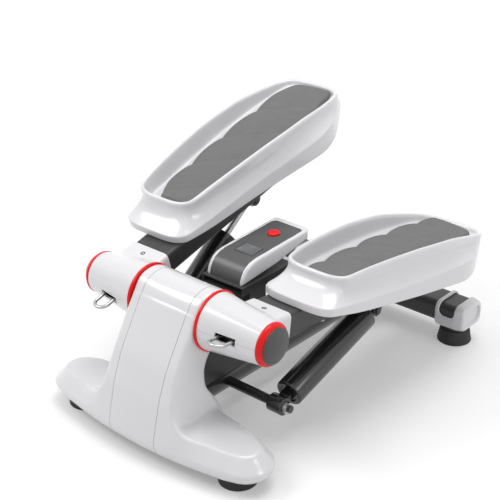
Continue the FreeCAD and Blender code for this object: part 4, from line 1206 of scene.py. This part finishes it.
@dataclass
class Arm:
    """The black box-section arm with its pivot sleeve and damper ears."""

    side: Side
    x: float = 98
    half: float = 29
    low: float = -12
    high: float = 18
    start: float = 19
    end: float = 320
    corner: float = 4
    sleeve_start: float = 60
    sleeve_end: float = 135
    sleeve: float = 17
    bore: float = 13.1
    core: float = 24
    core_half: float = 17
    damper_x: float = 109
    ear_reach: float = 251
    ear_half: float = 11.5
    ear_thick: float = 1.9
    ear_offset: float = 10.55
    eye_w: float = -37
    eye_half: float = 9
    eye_depth: float = 8
    bolt_half: float = 15
    bolt_grip: float = 12.6
    bolt_head: float = 5.5
    bolt: float = 4

    def build(self) -> None:
        """The arm as one welded piece, and the damper's bolt."""
        left, right, cut = self.x - self.half, self.x + self.half, self.corner
        section = rounded(((left, self.low, cut), (right, self.low, cut),
                           (right, self.high, cut), (left, self.high, cut)), True)
        sleeve = rounded(((self.sleeve_start, self.bore), (self.sleeve_start, self.sleeve, 0.8),
                          (self.sleeve_end, self.sleeve, 0.8), (self.sleeve_end, self.bore)), True)
        near, far = self.x - self.core_half, self.x + self.core_half
        core = ((near, self.bore), (near, self.core), (far, self.core), (far, self.bore))
        forms = [bar(section, self.start, self.end), lathe(sleeve, 48, True), lathe(core, 48, True)]
        for offset in (-self.ear_offset, self.ear_offset):
            forms.append(self.ear(self.damper_x + offset))
        piece(f"{self.side.prefix}_arm_tube", mirrored(join(*forms), self.side.sign), self.side.arm, STEEL,
              self.side.arm_body, [f"{self.side.prefix}_arm_frame"])

        tip, grip, head = self.bolt_half, self.bolt_grip, self.bolt_head
        bolt = rounded(((-tip, 0), (-tip, head, 0.8), (-grip, head), (-grip, self.bolt), (grip, self.bolt),
                        (grip, head), (tip, head, 0.8), (tip, 0)))
        bolt = turned(lathe(bolt, 6), Matrix.Translation((self.damper_x, self.ear_reach, self.eye_w)))
        piece(f"{self.side.prefix}_damper_bolt_hex", mirrored(bolt, self.side.sign), self.side.arm, STEEL,
              self.side.arm_body, [f"{self.side.prefix}_damper_bolt"])

    def ear(self, x: float) -> Mesh:
        """One damper ear: a plate with a round lower end.

        Args:
            x: The middle of the plate's thickness.

        Returns:
            Points and faces.
        """
        root = self.low + 2
        outline = [(self.ear_reach - self.ear_half, root), (self.ear_reach - self.eye_half, self.eye_w)]
        outline += [(self.ear_reach - self.eye_half * math.cos(turn),
                     self.eye_w - self.eye_depth * math.sin(turn))
                    for turn in np.linspace(0.3, math.pi - 0.3, 9)]
        outline += [(self.ear_reach + self.eye_half, self.eye_w), (self.ear_reach + self.ear_half + 2, root)]
        return loft([[(x + at, u, w) for u, w in outline] for at in (-self.ear_thick, self.ear_thick)])


@dataclass
class Pedal:
    """A white foot plate: a raised rim, hollow flanks and a plain band round the bottom."""

    side: Side
    x: float = 117
    rim_inner: tuple = ((99, 0), (100, 26), (107.5, 44), (128, 51.5), (185, 58.5), (255, 63.5), (325, 64),
                        (385, 58.5), (414, 52), (429, 43), (436.2, 25), (437.9, 0))
    rim_outer: tuple = ((99, 0), (100, 25), (107.5, 42), (128, 49), (185, 54.5), (255, 59.5), (325, 60.5),
                        (385, 57), (414, 52), (429, 44), (436.2, 27), (437.9, 0))
    band_inner: tuple = ((70.8, 0), (72, 34), (80, 52), (101, 58), (165, 61), (240, 64), (318, 71.5),
                         (352, 73), (378, 68.5), (404, 57.5), (431, 44), (437.8, 34), (439.1, 0))
    band_outer: tuple = ((70.8, 0), (72, 32), (80, 48), (101, 54), (165, 60.5), (250, 66), (325, 69.2),
                         (352, 69.8), (378, 66.5), (404, 57), (431, 44), (437.8, 34), (439.1, 0))
    tray: float = 38.6
    under_tray: float = 34.6
    under_edge: float = 9
    tray_edge: float = 10.5
    band_wall: float = 3.4
    spine: tuple = (150, 390)
    rim_steps: tuple = ((9.6, 0.05), (8.3, 0.17), (7.4, 0.45), (6.6, 0.8), (5.6, 0.95), (3.6, 1.0),
                        (1.5, 0.965), (0.4, 0.89))
    bow: float = 5.0
    count: int = 200
    around: int = 9

    def __post_init__(self) -> None:
        """The heights along the pedal."""
        self.rim_height = Profile(((71, 59), (100, 60.5), (145, 66), (200, 68.2), (255, 68.2), (330, 63.5),
                                   (400, 51), (440, 44)), 12)
        self.band_top = Profile(((71, 29), (150, 27.5), (300, 25.5), (440, 27)), 12)
        self.band_low = Profile(((71, 18.7), (92, 18.7), (125, 14.5), (250, 5), (360, -1.5), (392, 2),
                                 (416, 10), (440, 24)), 4)

    def outline(self, outer: Points, inner: Points, inset: np.ndarray | float = 0.0) -> np.ndarray:
        """A closed outline from its outer and inner halves, moved in by inset.

        Args:
            outer: (u, v) knots of the outer half, from the front.
            inner: (u, v) knots of the inner half, from the front.
            inset: How far it moves in.

        Returns:
            (v, u) points at even steps.
        """
        knots = [(v, u) for u, v in outer] + [(-v, u) for u, v in inner[-2:0:-1]]
        curve = closed_spline(knots, self.around * len(knots))
        way = np.concatenate([[0], np.cumsum(np.linalg.norm(np.roll(curve, -1, 0) - curve, axis=1))])
        even = np.linspace(0, way[-1], self.count, endpoint=False)
        curve = np.stack([np.interp(even, way, np.append(curve[:, n], curve[0, n])) for n in (0, 1)], -1)
        run = np.roll(curve, -1, 0) - np.roll(curve, 1, 0)
        run /= np.linalg.norm(run, axis=1)[:, None]
        return curve + np.reshape(inset, (-1, 1)) * np.stack([-run[:, 1], run[:, 0]], -1)

    def ring(self, outline: np.ndarray, height: np.ndarray | float) -> list:
        """An outline lifted to its height along the pedal.

        Args:
            outline: (v, u) points.
            height: Their height, each or for all.

        Returns:
            The ring's points.
        """
        levels = np.broadcast_to(height, len(outline))
        return [(self.x + v, u, float(w)) for (v, u), w in zip(outline, levels)]

    def rim(self, inset: np.ndarray | float = 0.0) -> np.ndarray:
        """The rim's outline, moved in by inset."""
        return self.outline(self.rim_outer, self.rim_inner, inset)

    def band(self, inset: float = 0.0) -> np.ndarray:
        """The outline of the band at the bottom, moved in by inset."""
        return self.outline(self.band_outer, self.band_inner, inset)

    def rings(self) -> list:
        """Every ring of the shell, from the middle of the floor over the rim to under the floor.

        Returns:
            The rings, in order.
        """
        made = []
        edge, foot = self.rim(), self.band()
        crest = self.rim_height(edge[:, 1])
        top, low = self.band_top(foot[:, 1]), self.band_low(foot[:, 1])
        core, under = self.rim(self.tray_edge), self.rim(self.under_edge)
        spine = np.stack([np.zeros(len(core)), np.clip(core[:, 1], *self.spine)], -1)
        for share in (0.15, 0.55, 0.9):
            made.append(self.ring(spine + (core - spine) * share, self.tray))
        wall = np.maximum(crest - self.tray, 2.5)
        for inset, rise in self.rim_steps:
            made.append(self.ring(self.rim(inset), self.tray + wall * rise))
        start = self.tray + wall * 0.8
        hollow = self.bow * (1 - ramp(edge[:, 1], 370, 425))
        for share in (0.0, 0.2, 0.4, 0.6, 0.78, 0.9, 0.97, 0.99):
            spot = self.rim(hollow * 4 * share * (1 - share)) + (foot - edge) * share ** 1.7
            made.append(self.ring(spot, start + (top - start) * share))
        for inset, height in ((0.0, top - 0.7), (0.0, (top + low) / 2), (0.0, low + 0.8), (0.3, low + 0.1),
                              (1.2, low), (2.8, low + 0.2), (3.1, low + 1.2),
                              (self.band_wall, np.minimum(top - 2, 32))):
            made.append(self.ring(self.band(inset), height))
        made.append(self.ring(under, self.under_tray - 0.6))
        for share in (0.8, 0.45, 0.15):
            made.append(self.ring(spine + (under - spine) * share, self.under_tray))
        return made

    def build(self) -> None:
        """The shell and the pad in it."""
        prefix = self.side.prefix
        shell = mirrored(loft(self.rings(), True), self.side.sign)
        piece(f"{prefix}_pedal_body", shell, self.side.arm, WHITE, self.side.arm_body,
              [f"{prefix}_pedal_shell"], sharp=60, subsurf={"levels": 1, "render_levels": 1})
        Pad(self.side).build()


@dataclass
class Pad:
    """The grey foam pad: scalloped sides and slanting creases between crowned lobes."""

    side: Side
    x: float = Pedal.x
    front: float = 119.5
    back: float = 428.5
    base: float = 38.4
    top: float = 44.6
    outer_valleys: tuple = (128, 197, 266, 341, 424)
    inner_valleys: tuple = (172, 247, 318, 390, 452)
    scallop: float = 4.6
    outer_inset: float = 3
    inner_inset: float = 1
    crease: float = 2.2
    lobe_rise: float = 2.9
    crown: float = 0.6
    skirt: float = 1.2
    curl: float = 3.4
    tuck: float = 7
    end_rows: tuple = (0, 0.5, 1.2, 2.2, 3.4)
    side_columns: tuple = (0, 0.4, 1.1, 2.2, 3.6)
    rows: int = 150
    columns: int = 37
    margin: float = 5

    def __post_init__(self) -> None:
        """The half width without its scallops."""
        self.half = Profile(((119.5, 24), (126, 28), (150, 34), (197, 37), (266, 41), (341, 41), (385, 40),
                             (420, 33), (428.5, 29)), 4)

    def lobes(self, u: np.ndarray, valleys: Sequence[float]) -> np.ndarray:
        """0 at each valley and 1 midway between two.

        Args:
            u: Places along the pedal.
            valleys: Where the valleys lie.

        Returns:
            The share of a full lobe.
        """
        first = 2 * valleys[0] - valleys[1]
        knots = np.array((first,) + tuple(valleys))
        place = np.interp(u, knots, np.arange(len(knots)))
        return np.abs(np.sin(np.pi * place)) ** 0.6

    def reach(self, u: float, valleys: Sequence[float], inset: float) -> float:
        """How far the pad goes to one side of its middle line.

        Args:
            u: Place along the pedal.
            valleys: That side's valleys.
            inset: How far that side is moved in.

        Returns:
            The reach.
        """
        end = min(u - self.front, self.back - u)
        tuck = self.tuck * (1 - min(end / self.tuck, 1)) ** 2
        return float(self.half(u)) + self.scallop * float(self.lobes(u, valleys)) - tuck - inset

    def build(self) -> None:
        """The pad as a grid whose rim curls down to its base."""
        ends, edge = np.array(self.end_rows), np.array(self.side_columns)
        rows = np.concatenate([self.front + ends,
                               np.linspace(self.front + self.margin, self.back - self.margin, self.rows),
                               self.back - ends[::-1]])
        top = []
        for u in rows:
            outer = self.reach(u, self.outer_valleys, self.outer_inset)
            inner = self.reach(u, self.inner_valleys, self.inner_inset)
            between = np.linspace(-inner + self.margin, outer - self.margin, self.columns)
            across = np.concatenate([-inner + edge, between, outer - edge[::-1]])
            top.append([(self.x + v, u, self.height(u, v, outer, inner)) for v in across])
        bottom = [[(x, u, self.base) for x, u, _ in row] for row in top]
        prefix = self.side.prefix
        soft = piece(f"{prefix}_foot_pad", mirrored(slab(top, bottom), self.side.sign), self.side.arm, PAD,
                     self.side.arm_body, [f"{prefix}_pedal_pad"], sharp=70)

    def height(self, u: float, v: float, outer: float, inner: float) -> float:
        """The pad's surface: lobes between slanting creases, rounded off at the rim.

        Args:
            u: Place along the pedal.
            v: Place across it, from its middle line.
            outer: The pad's reach to the outer side here.
            inner: Its reach to the inner side here.

        Returns:
            The height.
        """
        share = np.clip((v + inner) / (outer + inner), 0, 1)
        valleys = [i + (o - i) * share for i, o in zip(self.inner_valleys, self.outer_valleys)]
        lobe = float(self.lobes(np.array(u), valleys))
        rim = min(v + inner, outer - v, u - self.front, self.back - u)
        curl = 1 - (1 - min(max(rim, 0) / self.curl, 1)) ** 2.2
        rise = self.top - self.crease + self.lobe_rise * lobe + self.crown * math.sin(math.pi * share)
        return self.base + self.skirt + (rise - self.base - self.skirt) * curl


@dataclass
class Damper:
    """A hydraulic damper: a black barrel on the lower crossbar and a bright threaded rod."""

    side: Side
    x: float = Arm.damper_x
    y: float = 55
    z: float = 47
    start: float = 20
    end: float = 184
    barrel: float = 19
    bore: float = 16.2
    wall: float = 6
    gland: float = 8
    gland_rise: float = 3
    foot_eye: tuple = (11, 5.1, 12)
    strap: tuple = (8, 4.5, 9)
    rod: float = 5
    piston: tuple = (168, 160)
    thread_back: float = 71
    thread_length: float = 62
    thread_depth: float = 0.5
    pitch: float = 2.1
    top_eye: tuple = (8, 7, 10.5)

    def __post_init__(self) -> None:
        """Find the axis from the lower pivot to the eye on the arm."""
        lift = math.radians(self.side.value[1])
        reach, drop = Arm.ear_reach, -Arm.eye_w
        rise = AXLE.z + reach * math.sin(lift) - drop * math.cos(lift) - self.z
        run = reach * math.cos(lift) + drop * math.sin(lift) - self.y
        self.length = math.hypot(run, rise)
        self.lean = math.degrees(math.atan2(rise, run))

    def eye(self, half: float, bore: float, radius: float, edge: float, segments: int) -> Mesh:
        """A short tube about the X axis.

        Args:
            half: Half its length.
            bore: Its inner radius.
            radius: Its outer radius.
            edge: The rounding of its outer edges.
            segments: Points around.

        Returns:
            Points and faces.
        """
        section = ((-half, bore, 0.4), (-half, radius, edge), (half, radius, edge), (half, bore, 0.4))
        return lathe(rounded(section, True), segments, True)

    def barrel_form(self, x: float) -> Mesh:
        """The barrel with its gland, its strap and its lower eye.

        Args:
            x: Place across the machine.

        Returns:
            Points and faces.
        """
        inner, outer, guide = self.start + self.wall, self.end - self.wall, self.rod + 0.25
        lip = self.end + self.gland_rise
        shell = rounded((
            (inner, 0), (inner, self.bore, 1), (outer, self.bore, 1), (outer, guide, 0.5), (lip, guide, 0.3),
            (lip, self.gland, 0.9), (self.end + 0.2, self.gland + 0.2, 0.6), (self.end, 15.5, 0.8),
            (self.end, self.barrel, 3.4), (self.start, self.barrel, 4.2), (self.start, 13, 0.8),
            (self.start + 2.5, 11.5, 0.8), (self.start + 2.5, 0)))
        half, thick, near = self.strap
        strap = rounded(((x - half, -thick, 2), (x + half, -thick, 2), (x + half, thick, 2),
                         (x - half, thick, 2)), True)
        eye = turned(self.eye(*self.foot_eye, 1.2, 48), Matrix.Translation((x, 0, 0)))
        return join(along_u(lathe(shell, 72), x), eye, bar(strap, near, self.start + 3))

    def rod_form(self, x: float) -> Mesh:
        """The rod with its piston, its thread and its upper eye.

        Args:
            x: Place across the machine.

        Returns:
            Points and faces.
        """
        back, front = (self.length - at for at in self.piston)
        head, thread = self.bore - 0.2, self.length - self.thread_back
        path = [(back, 0), (back, head), (front, head), (front, self.rod), (thread - 1, self.rod)]
        for turn in range(int(self.thread_length / self.pitch)):
            at = thread + turn * self.pitch
            path += [(at, self.rod - self.thread_depth), (at + 0.4 * self.pitch, self.rod),
                     (at + 0.6 * self.pitch, self.rod)]
        path += [(self.length - 9, self.rod), (self.length - 7.5, 0)]
        eye = turned(self.eye(*self.top_eye, 1.4, 40), Matrix.Translation((x, self.length, 0)))
        return join(along_u(lathe(path, 40), x), eye)

    def build(self) -> None:
        """The barrel, then the rod in it."""
        place = Place(AXLE.y + self.y, self.z, self.lean)
        x, prefix = self.side.sign * self.x, self.side.prefix
        piece(f"{prefix}_damper_tube", self.barrel_form(x), place, BARREL, f"{prefix}_barrel",
              [f"{prefix}_damper_barrel"])
        piece(f"{prefix}_damper_shaft", self.rod_form(x), place, CHROME, f"{prefix}_rod",
              [f"{prefix}_damper_rod"])


@dataclass
class Console:
    """The counter on its post: a white body, a dark face, a screen and a red button."""

    half: float = 31
    back: float = 213
    corner: float = 9
    face_half: float = 25
    face_back: float = 205.5
    face_corner: float = 6
    face_levels: tuple = (-0.45, -1.15)
    face_gap: float = 0.2
    recess: float = 1.3
    nose: tuple = ((77, 176), (77.6, 181), (79.6, 187), (83, 192.6), (88, 197.6), (95, 201.3), (106, 203.5))
    underside: tuple = ((213, 196), (146, 183))
    back_top: float = 208.5
    screen: tuple = (3, 121, 15, 12.5)
    button_y: float = 174
    button: float = 8.6
    well_gap: float = 0.4
    row_step: float = 2.5
    columns: int = 21
    step: float = 1.25
    space: tuple = ((-36, 70, 168), (36, 220, 216))

    def __post_init__(self) -> None:
        """The side outline, front nose to rear edge."""
        self.upper = list(self.nose) + [(self.back, self.back_top)]
        self.side_outline = list(self.underside) + self.upper

    def field(self, x: np.ndarray, y: np.ndarray, z: np.ndarray) -> np.ndarray:
        """Distance to the white body, with the recess for the dark face.

        Args:
            x: Place across the machine.
            y: Distance behind the axle.
            z: Height.

        Returns:
            The signed distance, negative inside.
        """
        outline = polygon_distance(y, z, self.side_outline)
        outer = soft_max(outline, np.abs(x) - self.half, 5)
        plan = round_box((x, y), (-self.half, 60), (self.half, self.back), self.corner)
        outer = soft_max(outer, plan, 1)
        reach = self.face_half + 0.3
        face = round_box((x, y), (-reach, 30), (reach, self.face_back + 0.3), self.face_corner)
        under = np.where(y < 86, -10.0, 187 + 0.12 * (y - 77) - z)
        recess = np.maximum(np.maximum(face, -outline - self.recess), under)
        return soft_max(outer, -recess, 0.9)

    def face_height(self, y: np.ndarray) -> np.ndarray:
        """Height of the face at a distance behind the axle, on the top run."""
        return np.interp(y, *np.array(self.upper[2:]).T)

    def face_run(self) -> np.ndarray:
        """The face's middle line from the nose back, in even steps.

        Returns:
            (y, z) points.
        """
        path = np.array(self.upper, float)
        stations = []
        for start, end in zip(path, path[1:]):
            count = max(1, int(np.linalg.norm(end - start) / self.row_step))
            stations += [start + (end - start) * n / count for n in range(count)]
        run = np.array([p for p in stations if p[0] <= self.face_back])
        return np.vstack([run, (self.face_back, self.face_height(self.face_back))])

    def face(self) -> Mesh:
        """The dark face: a thin sheet that follows the nose, with round rear corners.

        Returns:
            Points and faces.
        """
        run = self.face_run()
        slope = np.gradient(run, axis=0)
        slope /= np.linalg.norm(slope, axis=1)[:, None]
        out = np.stack([-slope[:, 1], slope[:, 0]], -1)
        grids = []
        for level in self.face_levels:
            rows = []
            for y, z in run + out * level:
                short = max(self.face_corner - (self.face_back - y), 0)
                half = self.face_half - self.face_gap
                if short:
                    half -= self.face_corner - math.sqrt(max(self.face_corner ** 2 - short ** 2, 0))
                rows.append([(x, y, z) for x in np.linspace(-half, half, self.columns)])
            grids.append(rows)
        return slab(*grids)

    def build(self) -> None:
        """All of the console's visible pieces."""
        mesh = surface_of(self.field, *self.space, self.step)
        bore = self.button + self.well_gap
        well = lathe(rounded(((190, 0), (190, bore), (215, bore), (215, 0))), 48)
        well_item = self.cutter("well", upright(well, 0, self.button_y, 0))
        piece("console_white_body", mesh, FLOOR, WHITE, "base", ["console_body"], sharp=50)
        piece("console_dark_face", self.face(), FLOOR, CONSOLE, "base", ["console_face"], sharp=40,
              boolean={"object": well_item, "operation": "DIFFERENCE", "solver": "EXACT"})
        bpy.data.objects.remove(well_item)
        self.glass()
        button = lathe(rounded(((201, 0), (201, self.button, 0.3), (208.1, self.button, 1.0),
                                (208.6, self.button - 2.5, 1), (208.3, 0))), 64)
        piece("console_button_cap", upright(button, 0, self.button_y, 0), FLOOR, RED, "button",
              ["console_button"])

    def cutter(self, name: str, mesh: Mesh) -> bpy.types.Object:
        """A form that a boolean modifier takes away, in local millimetres.

        Args:
            name: The object's name.
            mesh: Points and faces.

        Returns:
            The object.
        """
        data = bpy.data.meshes.new(name)
        data.from_pydata(mesh[0], [], mesh[1])
        item = bpy.data.objects.new(name, data)
        bpy.context.scene.collection.objects.link(item)
        return item

    def plate(self, levels: Points) -> Mesh:
        """A screen-shaped plate on the face, from (inset, height above the face) steps.

        Args:
            levels: The steps, from below.

        Returns:
            Points and faces.
        """
        x, y, half, deep = self.screen
        outline = rounded(((x - half, y - deep, 1.5), (x + half, y - deep, 1.5), (x + half, y + deep, 1.5),
                           (x - half, y + deep, 1.5)), True)
        return loft([[(x + (px - x) * (1 - inset / half), y + (py - y) * (1 - inset / deep),
                       float(self.face_height(py)) + level) for px, py in outline]
                     for inset, level in levels])

    def glass(self) -> None:
        """The screen: a bordered glass plate in the face with a lighter display under it."""
        rim = self.plate(((0.3, -1.2), (0, -0.6), (0, -0.15), (0.35, 0.1)))
        display = self.plate(((1.6, -0.3), (1.5, 0.14), (1.9, 0.22)))
        piece("console_screen_rim", rim, FLOOR, STEEL, "base", ["console_screen"], sharp=40)
        piece("console_screen_glass", display, FLOOR, GLASS, "base", sharp=40)


@dataclass
class RearCap:
    """The pale cap on an end of the rear crossbar: a strap, an open window and an end cup."""

    side: Side
    start: float = 125
    end: float = 172
    y: float = 408
    half_depth: float = 27.5
    low: float = 25
    high: float = 65.5
    wall: float = 3.4
    socket_end: float = 167.1
    corner: float = 12.5
    inner_corner: float = 9
    cup: float = 2.5
    cup_length: float = 16
    strap: float = 7.5
    window_low: float = 46
    window_end: float = 15
    window_corner: float = 8
    dish: float = 3.2
    dish_edge: tuple = (8, 8.5, 8)
    step: float = 1.15
    space: tuple = ((118, 374, 22), (178, 442, 72))

    def section(self, y: np.ndarray, z: np.ndarray, inset: tuple, corner: float) -> np.ndarray:
        """Distance to the cap's outline seen along the crossbar, moved in by inset.

        Args:
            y: Distance behind the axle.
            z: Height.
            inset: How far it moves in at its sides, from below and from above.
            corner: Radius of its corners.

        Returns:
            The signed distance, negative inside.
        """
        sides, below, above = inset
        low = (self.y - self.half_depth + sides, self.low + below)
        high = (self.y + self.half_depth - sides, self.high - above)
        return round_box((y, z), low, high, corner)

    def field(self, x: np.ndarray, y: np.ndarray, z: np.ndarray) -> np.ndarray:
        """Distance to the cap.

        Args:
            x: Place across the machine.
            y: Distance behind the axle.
            z: Height.

        Returns:
            The signed distance, negative inside.
        """
        cup = ramp(x, self.end - self.cup_length, self.end) * self.cup
        ends = np.maximum(self.start - x, x - self.end)
        outside = soft_max(self.section(y, z, (0, 0, 0), self.corner) + cup, ends, 5)
        socket = np.maximum(self.section(y, z, (self.wall, self.wall, self.wall), self.inner_corner),
                            x - self.socket_end)
        window = round_box((x, z), (self.start + self.strap, self.window_low),
                           (self.end - self.window_end, 120), self.window_corner)
        dish = np.maximum(self.section(y, z, self.dish_edge, self.inner_corner), self.end - self.dish - x)
        solid = soft_max(outside, -socket, 1)
        solid = soft_max(solid, -window, 2.2)
        return soft_max(solid, -dish, 1.6)

    def build(self) -> None:
        """The cap as one shell."""
        mesh = surface_of(self.field, *self.space, self.step)
        prefix = self.side.prefix
        piece(f"{prefix}_rear_cap_shell", mirrored(mesh, self.side.sign), FLOOR, WHITE, "base",
              [f"{prefix}_rear_cap"], sharp=50)


@dataclass
class Foot:
    """A rubber foot: a ribbed cone with a soft lip, hollow under its bolt."""

    node: str
    front_gap: float = 0.1
    rear_gap: float = 2.6

    def build(self) -> None:
        """The foot, turned about an upright line."""
        centre = middle(self.node)
        gap = self.rear_gap if self.node.startswith("rear") else self.front_gap
        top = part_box(self.node)[1].z / MM - gap
        path = rounded(((5, 0), (5, 7.2, 0.4), (0.05, 7.4, 0.5), (0.05, 24.2, 1.2), (2.5, 24.4, 1),
                        (3.2, 23.8, 0.4), (4, 23.9, 0.4), (top - 5, 21, 1.2), (top - 4.5, 18, 0.8),
                        (top, 17.5, 0.5), (top, 0)))
        piece(f"{self.node}_rubber", upright(lathe(path, 72), centre.x, centre.y, 0), Place(0, 0), RUBBER,
              "base", [self.node])


def dress_frame(finish_of: dict[str, Finish]) -> None:
    """Give every frame node that stays its finish, by its slot in the record.

    Args:
        finish_of: The nodes whose finish isn't their slot's own.
    """
    slots = {part["node"]: part["material_slot"] for part in frame["record"]["subparts"]}
    for name, item in frame["nodes"].items():
        finish = finish_of.get(name) or FINISHES[slots[name]]
        item.data.materials.clear()
        item.data.materials.append(finish.material())
        item.data.shade_smooth()
        item.data.set_sharp_from_angle(angle=math.radians(30))


class Studio:
    """A white room: a pale floor, soft lamps and the camera."""

    eye = (0.950, -1.1449, 0.915)
    turn = (63.8, 0.0, 40.8)
    lens = 90.72
    floor_reach = 6.0
    floor_glow = {"From Min": 0.6, "From Max": 3.0, "To Min": 0.26, "To Max": 0.9}
    room_light = 0.44
    lamps = (
        ("key", (-1.5, -1.3, 2.2), (0, 0, 0.15), 1.2, 25),
        ("top", (0.1, 0.3, 2.4), (0, 0, 0), 1.5, 25),
        ("side", (2.2, 0.2, 1.3), (0.1, 0.1, 0.1), 0.7, 6),
    )

    def seen_directly(self, tree: bpy.types.NodeTree) -> bpy.types.NodeSocket:
        """One for the rays of the camera, of mirrors and of glass, else zero.

        Args:
            tree: The node tree that asks.

        Returns:
            The output that says so.
        """
        path = add_node(tree, "ShaderNodeLightPath")
        seen = path.outputs["Is Camera Ray"]
        for kind in ("Is Glossy Ray", "Is Transmission Ray"):
            either = add_node(tree, "ShaderNodeMath", {0: seen, 1: path.outputs[kind]}, operation="MAXIMUM")
            seen = either.outputs[0]
        return seen

    def floor_finish(self) -> bpy.types.Material:
        """A pale matt floor that whitens with distance, for the camera and mirrors only.

        Returns:
            The material.
        """
        made = bpy.data.materials.new("studio_floor")
        made.use_nodes = True
        tree = made.node_tree
        shader = tree.nodes["Principled BSDF"]
        shader.inputs["Base Color"].default_value = (0.8, 0.8, 0.8, 1)
        shader.inputs["Roughness"].default_value = 0.8
        shader.inputs["Specular IOR Level"].default_value = 0.1
        spot = add_node(tree, "ShaderNodeTexCoord").outputs["Object"]
        away = add_node(tree, "ShaderNodeVectorMath", {0: spot}, operation="LENGTH").outputs["Value"]
        level = add_node(tree, "ShaderNodeMapRange", {"Value": away} | self.floor_glow).outputs["Result"]
        strength = add_node(tree, "ShaderNodeMath", {0: self.seen_directly(tree), 1: level},
                            operation="MULTIPLY").outputs[0]
        glow = add_node(tree, "ShaderNodeEmission", {"Color": (1, 1, 1, 1), "Strength": strength})
        both = add_node(tree, "ShaderNodeAddShader", {0: shader.outputs[0], 1: glow.outputs[0]})
        tree.links.new(both.outputs[0], tree.nodes["Material Output"].inputs["Surface"])
        return made

    def floor(self) -> None:
        """The pale floor that keeps the shadow."""
        data = bpy.data.meshes.new("floor")
        reach = self.floor_reach
        corners = [(-reach, -reach, 0), (reach, -reach, 0), (reach, reach, 0), (-reach, reach, 0)]
        data.from_pydata(corners, [], [(0, 1, 2, 3)])
        item = bpy.data.objects.new("floor", data)
        bpy.context.scene.collection.objects.link(item)
        data.materials.append(self.floor_finish())

    def lamp(self, name: str, spot: tuple, aim: tuple, size: float, power: float) -> None:
        """One soft square lamp.

        Args:
            name: Its name.
            spot: Where it hangs.
            aim: The point it lights.
            size: Its side.
            power: Its power in watts.
        """
        data = bpy.data.lights.new(name, "AREA")
        data.shape = "SQUARE"
        data.size = size
        data.energy = power
        item = bpy.data.objects.new(name, data)
        item.location = spot
        item.rotation_euler = (Vector(aim) - Vector(spot)).to_track_quat("-Z", "Y").to_euler()
        bpy.context.scene.collection.objects.link(item)

    def world(self) -> None:
        """A white room for the camera and mirrors, a softer one for light."""
        world = bpy.data.worlds.new("studio")
        world.use_nodes = True
        tree = world.node_tree
        back = tree.nodes["Background"]
        back.inputs["Color"].default_value = (1, 1, 1, 1)
        level = add_node(tree, "ShaderNodeMapRange", {
            "Value": self.seen_directly(tree), "To Min": self.room_light, "To Max": 1.0})
        tree.links.new(level.outputs["Result"], back.inputs["Strength"])
        bpy.context.scene.world = world

    def camera(self) -> None:
        """The camera at the machine's front, above its left."""
        data = bpy.data.cameras.new("camera")
        data.lens = self.lens
        data.sensor_width = 36
        item = bpy.data.objects.new("camera", data)
        item.location = self.eye
        item.rotation_euler = [math.radians(a) for a in self.turn]
        bpy.context.scene.collection.objects.link(item)
        bpy.context.scene.camera = item

    def build(self) -> None:
        """Floor, light and camera."""
        self.camera()
        self.floor()
        self.world()
        for lamp in self.lamps:
            self.lamp(*lamp)
        bpy.context.scene.view_settings.view_transform = "Standard"


def main() -> None:
    """Build every sub-assembly and report it."""
    logging.basicConfig(level=logging.INFO, format="%(name)s: %(message)s")
    Studio().build()
    dress_frame({"damper_nuts": ZINC, "damper_crossbar": BARREL, "main_tube": BARREL})
    ColumnCasing().build()
    for side in Side:
        Hub(side).build()
        Arm(side).build()
        Pedal(side).build()
        Damper(side).build()
        RearCap(side).build()
    Console().build()
    for node in ("front_left_foot", "front_right_foot", "rear_left_foot", "rear_right_foot"):
        Foot(node).build()


if __name__ == "__main__":
    main()
